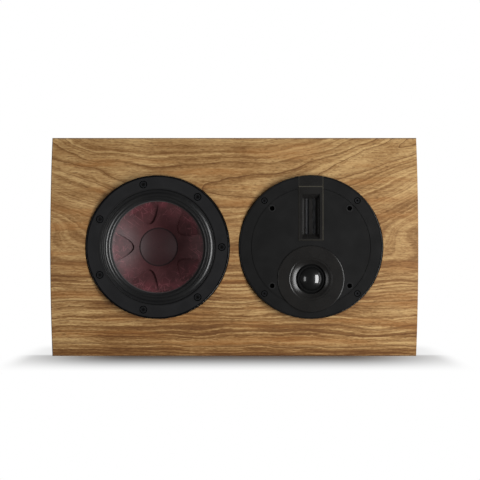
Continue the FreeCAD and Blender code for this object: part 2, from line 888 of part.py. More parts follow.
def dome_diaphragm():
    top = dome_base - dome_height
    roll = dome_radius + dome_roll_width
    roll_mid = dome_radius + dome_roll_width / 2
    half_way = dome_arc(dome_radius, dome_height, dome_base, 0.5)
    back = dome_base + dome_cloth
    pieces["dome_diaphragm"] = turned([
        (0, top),
        ((dome_radius / 2, half_way), (dome_radius, dome_base)),
        ((roll_mid, dome_base - dome_roll_height), (roll, dome_base)),
        (roll + dome_clamp, dome_base),
        (roll + dome_clamp, back),
        (roll, back),
        ((roll_mid, back - dome_roll_height), (dome_radius, back)),
        ((dome_radius / 2, half_way + dome_cloth), (0, top + dome_cloth)),
    ], tweeter_x, -dome_drop)


def dome_motor():
    place = (tweeter_x, -dome_drop)
    back = dome_base + dome_cloth
    coil_inner = dome_radius - dome_coil_thickness
    bore = dome_radius + dome_gap
    pole = coil_inner - dome_gap
    magnet = back + dome_plate_steel
    yoke = magnet + dome_magnet_thickness
    yoke_back = yoke + dome_yoke_thickness
    pieces["dome_voice_coil"] = tube(dome_radius, coil_inner, back, back + dome_coil_length, *place)
    pieces["dome_top_plate"] = tube(dome_motor_radius, bore, back, magnet, *place)
    pieces["dome_magnet"] = tube(dome_motor_radius, bore + dome_magnet_margin, magnet, yoke, *place)
    pieces["dome_yoke"] = turned([
        (dome_vent_radius, back + dome_cloth),
        (pole, back + dome_cloth),
        (pole, yoke),
        (dome_motor_radius, yoke),
        (dome_motor_radius, yoke_back),
        (dome_vent_radius, yoke_back),
    ], *place)
    chamber = disc(chamber_radius, yoke_back, yoke_back + chamber_length, *place)
    hollow = disc(chamber_radius - chamber_wall, yoke_back, yoke_back + chamber_length - chamber_wall, *place)
    pieces["dome_rear_chamber"] = chamber.cut(hollow)


def tweeter_module():
    tweeter_chassis()
    tweeter_cover_plate()
    grille_sockets()
    ribbon_bezel()
    ribbon_stack()
    dome_plate()
    dome_diaphragm()
    dome_motor()
    pieces["tweeter_gasket"] = flange_gasket(*tweeter_fixing)
    screws = flange_screws(*tweeter_fixing, tweeter_head_radius, tweeter_head_height)
    pieces["tweeter_screws"] = Part.makeCompound(screws)


# Rear fittings
cup_x = tweeter_x
cup_back = rear_face + cup_flange_thickness
floor_front = rear_face - cup_depth
floor_back = floor_front + cup_floor
collar_back = floor_back + post_collar_thickness
stud_back = collar_back + post_stud_length
tail_front = floor_front - post_tail_length
keyhole_front = rear_face - keyhole_plate_thickness
keyhole_x = inner_half_width - keyhole_inset
keyhole_height = inner_half_height - keyhole_drop
pad_x = inner_half_width - pad_inset
pad_z = inner_half_height - pad_inset


def cup_screw_places():
    for side in (-1, 1):
        for level in (-1, 1):
            yield (cup_x + side * (cup_width / 2 + cup_flange - cup_screw_inset),
                   level * (cup_height / 2 + cup_flange - cup_screw_inset))


def terminal_cup():
    flange = slab(cup_width + 2 * cup_flange, cup_height + 2 * cup_flange, rear_face, cup_back, cup_x, 0.0,
                  cup_corner)
    well = slab(cup_width, cup_height, floor_front, rear_face, cup_x, 0.0, cup_corner)
    hollow = slab(cup_width - 2 * cup_wall, cup_height - 2 * cup_wall, floor_back, cup_back, cup_x, 0.0,
                  cup_corner - cup_wall)
    cup = joined([flange, well]).cut(hollow)
    for side in (-1, 1):
        x = cup_x + side * post_spacing / 2
        cup = cup.cut(disc(post_tail_radius + fit_gap, floor_front, floor_back, x))
    screws = []
    for x, z in cup_screw_places():
        screws.append(countersunk_screw(cup_back, -1, cup_screw_length, x, z))
        hole = [(0, cup_back), (small_head_radius + fit_gap, cup_back),
                (small_shank_radius + fit_gap, cup_back - small_head_height),
                (small_shank_radius + fit_gap, rear_face), (0, rear_face)]
        cup = cup.cut(turned(hole, x, z))
    pieces["terminal_cup"] = cup
    pieces["terminal_cup_screws"] = Part.makeCompound(screws)


def binding_posts():
    nuts = []
    for name, side in (("negative", -1), ("positive", 1)):
        x = cup_x + side * post_spacing / 2
        pieces[name + "_post"] = turned([
            (0, tail_front),
            (post_tail_radius, tail_front),
            (post_tail_radius, floor_back),
            (post_collar_radius, floor_back),
            (post_collar_radius, collar_back),
            (post_stud_radius, collar_back),
            (post_stud_radius, stud_back),
            (plug_bore_radius, stud_back),
            (plug_bore_radius, stud_back - plug_bore_depth),
            (0, stud_back - plug_bore_depth),
        ], x)
        nut = hexagon(nut_radius, floor_front - nut_thickness, floor_front, x, 0.0)
        nuts.append(nut.cut(disc(post_tail_radius + fit_gap, floor_front - nut_thickness, floor_front, x)))
        pieces[name + "_knob"] = knob(x)
    pieces["post_nuts"] = Part.makeCompound(nuts)


def knob(x):
    front = collar_back + knob_clearance
    body = turned([
        (post_stud_radius + knob_clearance, front),
        (knob_radius, front),
        (knob_radius, stud_back - knob_chamfer),
        (knob_radius - knob_chamfer, stud_back),
        (post_stud_radius + knob_clearance, stud_back),
    ], x)
    for a, b in around(knob_flute_count, knob_radius + knob_flute_radius / 2):
        body = body.cut(disc(knob_flute_radius, front + knob_radius / 2, stud_back, x + a, b))
    return body


def keyhole_screw_levels():
    reach = keyhole_plate_height / 2 - keyhole_screw_inset
    return (keyhole_height - reach, keyhole_height + reach)


def keyhole_plate(x):
    plate = slab(keyhole_plate_width, keyhole_plate_height, keyhole_front, rear_face, x, keyhole_height,
                 keyhole_plate_corner)
    low = keyhole_height - keyhole_travel / 2
    high = keyhole_height + keyhole_travel / 2
    plate = plate.cut(disc(keyhole_entry_radius, keyhole_front, rear_face, x, low))
    plate = plate.cut(disc(keyhole_slot_radius, keyhole_front, rear_face, x, high))
    slot = block(x - keyhole_slot_radius, x + keyhole_slot_radius, keyhole_front, rear_face, low, high)
    plate = plate.cut(slot)
    for z in keyhole_screw_levels():
        hole = [(0, rear_face), (small_head_radius + fit_gap, rear_face),
                (small_shank_radius + fit_gap, rear_face - small_head_height),
                (small_shank_radius + fit_gap, keyhole_front), (0, keyhole_front)]
        plate = plate.cut(turned(hole, x, z))
    return plate


def keyholes():
    screws = []
    for name, side in (("left", -1), ("right", 1)):
        x = side * keyhole_x
        pieces[name + "_keyhole_plate"] = keyhole_plate(x)
        for z in keyhole_screw_levels():
            screws.append(countersunk_screw(rear_face, -1, keyhole_screw_length, x, z))
    pieces["keyhole_screws"] = Part.makeCompound(screws)


def rear_panel():
    panel = block(-inner_half_width, inner_half_width, rear_panel_front, rear_face,
                  -inner_half_height, inner_half_height)
    panel = panel.cut(slab(cup_width + 2 * cup_clearance, cup_height + 2 * cup_clearance, rear_panel_front,
                           rear_face, cup_x, 0.0, cup_corner))
    small_pilot = small_shank_radius + fit_gap
    for x, z in cup_screw_places():
        panel = panel.cut(disc(small_pilot, cup_back - cup_screw_length - past, rear_face, x, z))
    pocket_width = 2 * (keyhole_entry_radius + keyhole_pocket_margin)
    pocket_height = keyhole_travel + pocket_width
    for side in (-1, 1):
        x = side * keyhole_x
        panel = panel.cut(slab(keyhole_plate_width + 2 * fit_gap, keyhole_plate_height + 2 * fit_gap,
                               keyhole_front, rear_face, x, keyhole_height, keyhole_plate_corner))
        pocket_front = keyhole_front - keyhole_pocket_depth
        panel = panel.cut(slab(pocket_width, pocket_height, pocket_front, keyhole_front, x, keyhole_height))
        for z in keyhole_screw_levels():
            panel = panel.cut(disc(small_pilot, rear_face - keyhole_screw_length - past, rear_face, x, z))
    pieces["rear_panel"] = panel
    pads = []
    for side in (-1, 1):
        for level in (-1, 1):
            pads.append(disc(pad_radius, rear_face, cabinet_depth + pad_proud, side * pad_x, level * pad_z))
    pieces["wall_pads"] = Part.makeCompound(pads)


# Crossover and wiring
board_low = -inner_half_height + spacer_height
board_top = board_low + board_thickness
board_x = (brace_thickness / 2 + inner_half_width) / 2
board_y = (baffle_back + rear_panel_front) / 2
woofer_lead_x = board_x - board_length / 2 + 2 * spacer_inset
woofer_inductor_x = woofer_lead_x + lead_drop / 2 + woofer_inductor_radius
middle_x = woofer_inductor_x + woofer_inductor_radius + part_gap
landing_x = middle_x + resistor_length + part_gap


def upright_ring(radius, height, x, y):
    outer = Part.makeCylinder(radius, height, Vector(x, y, board_top))
    return outer.cut(Part.makeCylinder(radius * inductor_bore_share, height, Vector(x, y, board_top)))


def crossover():
    half_length = board_length / 2
    half_board = board_width / 2
    board = Part.makeBox(board_length, board_width, board_thickness,
                         Vector(board_x - half_length, board_y - half_board, board_low))
    pieces["crossover_board"] = board
    spacers = []
    for side in (-1, 1):
        for level in (-1, 1):
            foot = Vector(board_x + side * (half_length - spacer_inset),
                          board_y + level * (half_board - spacer_inset), -inner_half_height)
            spacers.append(Part.makeCylinder(spacer_radius, spacer_height, foot))
    pieces["crossover_spacers"] = Part.makeCompound(spacers)
    pieces["woofer_inductor"] = upright_ring(woofer_inductor_radius, woofer_inductor_height,
                                             woofer_inductor_x, board_y)
    small_y = board_y + half_board - tweeter_inductor_radius - part_gap
    pieces["tweeter_inductor"] = upright_ring(tweeter_inductor_radius, tweeter_inductor_height,
                                              middle_x + tweeter_inductor_radius, small_y)
    resistors = []
    for number in range(2):
        y = board_y - half_board + part_gap + number * (resistor_side + part_gap)
        corner = Vector(middle_x, y, board_top)
        resistors.append(Part.makeBox(resistor_length, resistor_side, resistor_side, corner))
    pieces["crossover_resistors"] = Part.makeCompound(resistors)
    capacitors = []
    pitch = 2 * capacitor_radius + capacitor_gap
    for number in (-1, 0, 1):
        end = Vector(board_x + half_length - spacer_inset - capacitor_length, board_y + number * pitch,
                     board_top + capacitor_radius)
        capacitors.append(Part.makeCylinder(capacitor_radius, capacitor_length, end, Vector(1, 0, 0)))
    pieces["crossover_capacitors"] = Part.makeCompound(capacitors)


def wiring():
    inputs = []
    for side in (-1, 1):
        x = cup_x + side * post_spacing / 2
        bend_y = tail_front - lead_drop
        land_y = board_y + lead_drop - side * part_gap * 2
        inputs.append(lead([(x, tail_front, 0.0), (x, bend_y, 0.0),
                            (landing_x, land_y, board_top + lead_drop), (landing_x, land_y, board_top)]))
    pieces["input_leads"] = Part.makeCompound(inputs)
    tag_y = motor_front + 2 * strip_thickness + lead_radius
    tag_z = -basket_rear_radius + body_wall / 2 - lug_length + tag_width
    outputs = []
    for side in (-1, 1):
        start_y = board_y + side * lead_drop / 2
        end_x = woofer_x + side * tag_spacing / 2
        run_z = board_top + lead_run + side * part_gap
        outputs.append(lead([(woofer_lead_x, start_y, board_top), (woofer_lead_x, start_y, run_z),
                             (end_x, tag_y, run_z), (end_x, tag_y, tag_z)]))
    pieces["woofer_leads"] = Part.makeCompound(outputs)
    dome_y = dome_base + dome_cloth + dome_plate_steel + dome_magnet_thickness / 2
    dome_x = tweeter_x - dome_motor_radius
    rise_y = baffle_back + lead_drop
    drop_x = dome_x - lead_drop
    dome_lead = [(drop_x, rise_y, board_top), (drop_x, rise_y, -dome_drop - lead_drop),
                 (drop_x, dome_y, -dome_drop), (dome_x - fit_gap, dome_y, -dome_drop)]
    frame_back = chassis_back + slot_plate_thickness + film_thickness + ribbon_frame_thickness
    case_back = frame_back + ribbon_case_depth
    ribbon_lead = [(landing_x, rise_y, board_top), (landing_x, rise_y, 0.0),
                   (tweeter_x, case_back + lead_drop, ribbon_rise), (tweeter_x, case_back, ribbon_rise)]
    pieces["tweeter_leads"] = Part.makeCompound([lead(dome_lead), lead(ribbon_lead)])


# The row's frame: the origin under the middle of the whole part, +Y into the cabinet, +Z up
def save():
    front = flange_front - max(dome_plate_proud, ribbon_proud)
    back = cabinet_depth + pad_proud
    shift = Vector(0, -(front + back) / 2, half_height)
    os.makedirs("parts", exist_ok=True)
    for name, shape in pieces.items():
        shape.translated(shift).exportStep("parts/" + name + ".step")


cabinet()
cabinet_brace()
damping_felt()
woofer()
tweeter_module()
rear_panel()
terminal_cup()
binding_posts()
keyholes()
crossover()
wiring()
save()
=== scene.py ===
import json
import math
import bpy
import bmesh
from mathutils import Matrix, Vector
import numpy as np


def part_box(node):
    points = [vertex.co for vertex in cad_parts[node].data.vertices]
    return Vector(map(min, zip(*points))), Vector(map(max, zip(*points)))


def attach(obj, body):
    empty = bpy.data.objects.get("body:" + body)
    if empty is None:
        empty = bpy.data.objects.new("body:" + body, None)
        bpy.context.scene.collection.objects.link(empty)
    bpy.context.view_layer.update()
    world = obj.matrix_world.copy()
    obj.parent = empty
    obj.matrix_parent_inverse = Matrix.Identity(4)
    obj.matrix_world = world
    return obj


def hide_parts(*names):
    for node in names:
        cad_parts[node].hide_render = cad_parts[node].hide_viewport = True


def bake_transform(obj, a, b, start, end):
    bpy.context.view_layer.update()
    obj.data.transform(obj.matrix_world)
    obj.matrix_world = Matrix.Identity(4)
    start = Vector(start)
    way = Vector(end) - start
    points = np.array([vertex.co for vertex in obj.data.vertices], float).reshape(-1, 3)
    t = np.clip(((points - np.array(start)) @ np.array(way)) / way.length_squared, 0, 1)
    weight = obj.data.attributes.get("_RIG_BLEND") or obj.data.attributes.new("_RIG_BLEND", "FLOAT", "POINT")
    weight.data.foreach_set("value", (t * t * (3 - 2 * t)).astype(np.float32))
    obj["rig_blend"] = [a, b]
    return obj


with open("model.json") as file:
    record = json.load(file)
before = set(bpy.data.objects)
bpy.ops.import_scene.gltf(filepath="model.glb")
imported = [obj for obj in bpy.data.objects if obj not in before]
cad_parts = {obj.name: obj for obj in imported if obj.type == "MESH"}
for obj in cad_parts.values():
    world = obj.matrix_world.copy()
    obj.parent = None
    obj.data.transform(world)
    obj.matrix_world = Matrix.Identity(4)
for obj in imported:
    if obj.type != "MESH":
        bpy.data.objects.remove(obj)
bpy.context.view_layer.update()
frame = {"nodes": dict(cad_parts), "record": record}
record = frame["record"]
print("frame loaded,", len(frame["nodes"]), "nodes")

mm = 0.001


def tint(red, green, blue):
    # a colour as picked from a screen, 0 to 255, turned linear for the shaders
    linear = []
    for level in (red, green, blue):
        part = level / 255
        linear.append(part / 12.92 if part <= 0.04045 else ((part + 0.055) / 1.055) ** 2.4)
    return (*linear, 1.0)


def middleOf(node):
    # the middle of a node seen from the front, across and up, in millimetres
    low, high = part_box(node)
    return (low.x + high.x) / 2 / mm, (low.z + high.z) / 2 / mm


# Shader tools
class Wire:
    # one socket, so that shader maths reads as maths
    def __init__(self, paint, socket):
        self.paint = paint
        self.socket = socket

    def maths(self, operation, *terms):
        return self.paint.node("Math", {"operation": operation}, dict(enumerate(terms)))

    def __add__(self, other):
        return self.maths("ADD", self, other)

    def __sub__(self, other):
        return self.maths("SUBTRACT", self, other)

    def __rsub__(self, other):
        return self.maths("SUBTRACT", other, self)

    def __mul__(self, other):
        return self.maths("MULTIPLY", self, other)

    def __truediv__(self, other):
        return self.maths("DIVIDE", self, other)

    def __abs__(self):
        return self.maths("ABSOLUTE", self)

    def __gt__(self, limit):
        return self.maths("GREATER_THAN", self, limit)

    def __lt__(self, limit):
        return self.maths("LESS_THAN", self, limit)

    __radd__ = __add__

    def root(self):
        return self.maths("SQRT", self)

    def wave(self):
        return self.maths("SINE", self)

    def most(self, other):
        return self.maths("MAXIMUM", self, other)

    def between(self, low, high, first=0.0, last=1.0):
        # eases from first to last while the value goes from low to high
        sockets = {"Value": self, "From Min": low, "From Max": high, "To Min": first, "To Max": last}
        return self.paint.node("MapRange", {"interpolation_type": "SMOOTHSTEP"}, sockets)


class Paint:
    # a node tree with a short way to add nodes
    def __init__(self, tree):
        self.tree = tree
        self.kept = {}

    def node(self, kind, settings=None, sockets=None, out=0):
        node = self.tree.nodes.new("ShaderNode" + kind)
        for name, value in (settings or {}).items():
            if name == "stops":
                self.setStops(node.color_ramp, value)
            else:
                setattr(node, name, value)
        for name, value in (sockets or {}).items():
            self.join(value, node.inputs[name])
        return Wire(self, node.outputs[out])

    def setStops(self, ramp, stops):
        while len(ramp.elements) < len(stops):
            ramp.elements.new(1.0)
        for element, (place, colour) in zip(ramp.elements, stops):
            element.position = place
            element.color = colour

    def join(self, value, socket):
        if isinstance(value, Wire):
            self.tree.links.new(value.socket, socket)
        else:
            socket.default_value = value

    def spot(self):
        # where a point of the surface is, in millimetres of the shared frame
        if "spot" not in self.kept:
            metres = self.node("TexCoord", out="Object")
            sockets = {0: metres, "Scale": 1 / mm}
            self.kept["spot"] = self.node("VectorMath", {"operation": "SCALE"}, sockets)
        return self.kept["spot"]

    def xyz(self):
        if "xyz" not in self.kept:
            parts = self.tree.nodes.new("ShaderNodeSeparateXYZ")
            self.join(self.spot(), parts.inputs[0])
            self.kept["xyz"] = [Wire(self, socket) for socket in parts.outputs]
        return self.kept["xyz"]

    def radius(self, middle):
        # how far a point is from an axis that runs straight into the wall
        x, _, z = self.xyz()
        outX = x - middle[0]
        outZ = z - middle[1]
        return (outX * outX + outZ * outZ).root()

    def vector(self, x, y, z):
        return self.node("CombineXYZ", None, {0: x, 1: y, 2: z})

    def stretched(self, scales):
        # the spot scaled differently along each axis, for textures with a direction
        return self.node("VectorMath", {"operation": "MULTIPLY"}, {0: self.spot(), 1: scales})

    def noise(self, where, scale=1.0, detail=2.0, roughness=0.5, distortion=0.0):
        # given the spot, the scale is per millimetre
        sockets = {"Vector": where, "Scale": scale, "Detail": detail, "Roughness": roughness,
                   "Distortion": distortion}
        return self.node("TexNoise", None, sockets)

    def lineNoise(self, value, scale, detail):
        sockets = {"W": value, "Scale": scale, "Detail": detail}
        return self.node("TexNoise", {"noise_dimensions": "1D"}, sockets)

    def ramp(self, value, stops):
        return self.node("ValToRGB", {"stops": stops}, {"Fac": value})

    def mix(self, factor, first, second):
        settings = {"data_type": "RGBA", "blend_type": "MIX", "clamp_factor": True}
        return self.node("Mix", settings, {0: factor, 6: first, 7: second}, out=2)

    def bump(self, height, distance):
        # the distance is in millimetres
        return self.node("Bump", None, {"Height": height, "Distance": distance * mm, "Strength": 1.0})


class Finish(Paint):
    # a material with one Principled shader
    def __init__(self, name):
        self.material = bpy.data.materials.new(name)
        self.material.use_nodes = True
        super().__init__(self.material.node_tree)
        self.shader = self.tree.nodes["Principled BSDF"]

    def set(self, **sockets):
        names = {"colour": "Base Color", "roughness": "Roughness", "metallic": "Metallic",
                 "normal": "Normal", "gloss": "Specular IOR Level", "sheen": "Sheen Weight",
                 "coat": "Coat Weight", "coatRoughness": "Coat Roughness", "coatIor": "Coat IOR"}
        for name, value in sockets.items():
            self.join(value, self.shader.inputs[names[name]])
        return self.material


# Camera at the photograph's place
cameraSet = {"place": (0.0071, -1.926, 0.1447), "lens": 113.2, "sensor": 36.0}


def addCamera():
    data = bpy.data.cameras.new("photoCamera")
    data.lens = cameraSet["lens"]
    data.sensor_width = cameraSet["sensor"]
    camera = bpy.data.objects.new("photoCamera", data)
    camera.location = cameraSet["place"]
    camera.rotation_euler = (math.radians(90), 0, 0)   # level, looking along +Y
    bpy.context.collection.objects.link(camera)
    bpy.context.scene.camera = camera


# Studio: two softboxes, a white backdrop and a dark room in front
studioSet = {
    "aim": (0.0, -0.06, 0.14),
    "boxes": {
        "rightSoftbox": {"place": (1.232, -1.19, 0.08), "size": (0.68, 1.5), "power": 39.0},
        "leftSoftbox": {"place": (-0.854, -1.19, 0.08), "size": (0.4, 0.75), "power": 3.4},
    },
    "fill": 0.17, "frontGlow": 0.05, "backdropEdge": (-0.35, 0.25), "white": (1.0, 1.0, 1.0, 1.0),
}


def addSoftbox(name, place, size, power):
    data = bpy.data.lights.new(name, "AREA")
    data.shape = "RECTANGLE"
    data.size, data.size_y = size
    data.energy = power
    lamp = bpy.data.objects.new(name, data)
    lamp.location = place
    lamp.rotation_euler = (Vector(studioSet["aim"]) - Vector(place)).to_track_quat("-Z", "Y").to_euler()
    lamp.visible_camera = False
    bpy.context.collection.objects.link(lamp)


def rayKinds(paint):
    # each is 1 for its own kind of ray, and all are 0 for light that falls on things
    path = paint.tree.nodes.new("ShaderNodeLightPath")
    names = ("Is Camera Ray", "Is Glossy Ray", "Is Transmission Ray")
    return [Wire(paint, path.outputs[name]) for name in names]


def addWorld():
    world = bpy.data.worlds.new("studio")
    world.use_nodes = True
    bpy.context.scene.world = world
    paint = Paint(world.node_tree)
    background = world.node_tree.nodes["Background"]
    background.inputs["Color"].default_value = studioSet["white"]
    camera, glossy, glass = rayKinds(paint)
    sky = paint.node("TexCoord", out="Generated")
    side = paint.node("SeparateXYZ", None, {0: sky}, out="Y")
    backdrop = side.between(*studioSet["backdropEdge"], studioSet["frontGlow"], 1.0)
    mirror = glossy.most(glass) * (1 - camera)
    strength = camera + mirror * backdrop + (1 - camera.most(mirror)) * studioSet["fill"]
    paint.join(strength, background.inputs["Strength"])


# Pale floor, white but for a painted shadow round the cabinet's foot, where it turns to a dark lamp-lit
# floor; lengths in millimetres
floorSet = {
    "half": 4000.0, "tone": 0.33, "foot": -43.0, "ahead": 230.0, "under": 30.0, "underPaintedShade": 0.35,
    "beside": (130.0, 340.0), "ends": (246.0, 278.0), "rear": (68.0, 190.0),
}


def addFloor():
    half = floorSet["half"] * mm
    mesh = bpy.data.meshes.new("floor")
    corners = [(-half, -half, 0), (half, -half, 0), (half, half, 0), (-half, half, 0)]
    mesh.from_pydata(corners, [], [(0, 1, 2, 3)])
    floor = bpy.data.objects.new("floor", mesh)
    bpy.context.collection.objects.link(floor)
    material = bpy.data.materials.new("studioFloor")
    material.use_nodes = True
    mesh.materials.append(material)
    paint = Paint(material.node_tree)
    paint.tree.nodes.remove(paint.tree.nodes["Principled BSDF"])
    x, y, _ = paint.xyz()
    # painted shadow: beside, ahead of and under the cabinet the white gives way to the floor's dark tone,
    # which sets the shadow's depth
    beside = abs(x).between(*floorSet["beside"], 1.0, 0.0) * abs(x).between(*floorSet["ends"], 1.0, 0.0)
    ahead = (floorSet["foot"] - y).between(0.0, floorSet["ahead"], 1.0, 0.0)
    under = (y - floorSet["foot"]).between(0.0, floorSet["under"], 1.0, floorSet["underPaintedShade"])
    behind = under * y.between(*floorSet["rear"], 1.0, 0.0)
    white = 1 - beside * ahead * behind
    tone = floorSet["tone"]
    camera, glossy, glass = rayKinds(paint)
    lit = paint.node("BsdfDiffuse", None, {"Color": (tone, tone, tone, 1.0)})
    glow = paint.node("Emission", None, {"Color": studioSet["white"], "Strength": 1.0})
    factor = white * camera.most(glossy).most(glass)
    both = paint.node("MixShader", None, {0: factor, 1: lit, 2: glow})
    paint.join(both, paint.tree.nodes["Material Output"].inputs["Surface"])
    floor.visible_shadow = False   # the softboxes reach below the floor's level
    floor.visible_glossy = False


addCamera()
for boxName, boxSet in studioSet["boxes"].items():
    addSoftbox(boxName, **boxSet)
addWorld()
addFloor()
print("camera, softboxes and floor placed")


# Walnut veneer, one leaf wrapped over the front, top and ends; lengths in millimetres
walnutSet = {
    "frontEdge": -43.2, "turn": 0.4, "endRimShade": (1.0, 0.3), "topRimShade": (1.8, 0.8), "rimShadeShare": 0.6,
    # a zone or span is what between takes
    "lowZone": (-60.0, 10.0),                      # straight bands below, looped figure above
    "heartHeight": 73.0, "heartBend": 0.0011, "bendAt": -15.0, "bendZone": (-40.0, 50.0),
    "planeDepth": 38.0, "planeSlope": 0.055, "saddle": -172.0, "core": 2.2, "flattest": 0.16,
    "heartWaves": {"drift": 26.0, "sway": 15.0},
    "ringWaves": {"drift": 9.0, "ripple": 3.4, "lowRipple": 1.4, "shake": 1.4},
    "loopWaves": {"drift": 6.0, "ripple": 2.0},
    "loopZone": (16.0, 40.0, 1.0, 0.25),           # distance from the heart over which the loops fade
    # along, across, seed, detail and roughness of each noise on the leaf
    "noises": {
        "drift": (0.008, 0.022, 3.7, 1.0, 0.5), "sway": (0.011, 0.012, 6.4, 1.0, 0.5),
        "ripple": (0.03, 0.08, 9.1, 2.0, 0.5), "shake": (0.1, 0.35, 4.4, 2.0, 0.5),
        "streaks": (0.011, 0.2, 1.3, 3.0, 0.62), "fibres": (0.06, 0.5, 5.9, 2.0, 0.6),
        "speckle": (0.22, 0.6, 2.9, 1.0, 0.6), "patches": (0.014, 0.024, 7.7, 2.0, 0.5),
        "warmth": (0.007, 0.08, 2.2, 2.0, 0.5), "cells": (0.14, 0.85, 8.3, 1.0, 0.6),
    },
    # pitch, width and jitter of the late-wood lines, and how strong the weakest is
    "lines": {"coarse": (8.0, 2.3, 2.4, 0.2), "fine": (3.0, 1.2, 1.8, 0.2), "loops": (6.5, 1.3, 0.5, 0.9)},
    "fineShift": 3.3, "jitterScale": 0.4, "ringSeed": 7.31, "strengthSpan": (0.34, 0.6), "lateWidth": 5.0,
    # scale, detail and shake of the bands that follow the rings
    "bands": {"broad": (0.07, 2.0, 0.0), "grain": (0.3, 3.0, 1.2), "hair": (0.85, 2.0, 1.6)},
    # how much each layer counts in the tone, and what the low zone adds to that
    "tone": {"broad": (0.9, -0.35), "grain": (0.7, 0.5), "hair": (0.3, 0.5), "streaks": (0.5, 1.1),
             "fibres": (0.7, 0.0), "speckle": (0.5, 0.0), "patches": (0.8, 0.0)},
    "midTone": 0.6, "coarseLate": 0.12, "fineLate": 0.14, "loopLate": 0.2,
    # painted light and shade on the front: the upper half, a band under the top edge and the right end
    # lighter, the foot darker
    "upperPaintedLight": (10.0, 90.0, 0.0, 0.12), "topPaintedLight": (126.0, 133.0, 0.0, 0.08),
    "footPaintedShade": (-131.0, -118.0, -0.12, 0.0), "rightPaintedLight": (180.0, 222.0, 0.0, 0.08),
    "coarseShare": (0.35, 0.35), "fineShare": (0.12, 0.22), "loopShare": 0.95,
    "warmSpan": (-0.02, 0.2, 0.0, 0.4), "poreSpan": (0.1, 0.2), "poreShare": 0.5, "poreDepth": 0.03,
    "lineDepth": 0.4, "lacquer": 0.6, "poreDull": 0.14, "fibreDull": 0.06, "gloss": 0.3,
    "line": tint(98, 62, 28), "orange": tint(156, 104, 52), "pore": tint(88, 56, 26),
    # edge is the colour of the painted shade along the front's outer edges
    "edge": tint(70, 46, 24),
}
walnutSet["ramp"] = [(0.0, walnutSet["line"]), (0.34, tint(127, 90, 49)), (0.58, tint(153, 117, 72)),
                     (1.0, tint(190, 156, 105))]


def leafNoise(finish, name, along, across, lift=None):
    # one noise laid on the leaf, centred on 0
    alongScale, acrossScale, seed, detail, roughness = walnutSet["noises"][name]
    height = across * acrossScale
    if lift is not None:
        height = height + lift
    where = finish.vector(along * alongScale, height, seed)
    return finish.noise(where, detail=detail, roughness=roughness) - 0.5


def lateLines(finish, ring, steepness, name):
    # thin dark lines, sharp on one side, each as strong as its ring happens to be, and the wood before them
    pitch, width, jitter, weakest = walnutSet["lines"][name]
    phase = ring / pitch + finish.lineNoise(ring, walnutSet["jitterScale"] / pitch, detail=1.0) * jitter
    whole = phase.maths("FLOOR", phase)
    left = (1 - phase.maths("FRACT", phase)) * pitch / steepness
    strength = finish.lineNoise(whole * walnutSet["ringSeed"], scale=1.0, detail=0.0)
    strength = strength.between(*walnutSet["strengthSpan"], weakest, 1.0)
    line = left.between(0.0, width, 1.0, 0.0) * strength
    lateWood = left.between(0.0, width * walnutSet["lateWidth"], 1.0, 0.0) * strength
    return line, lateWood


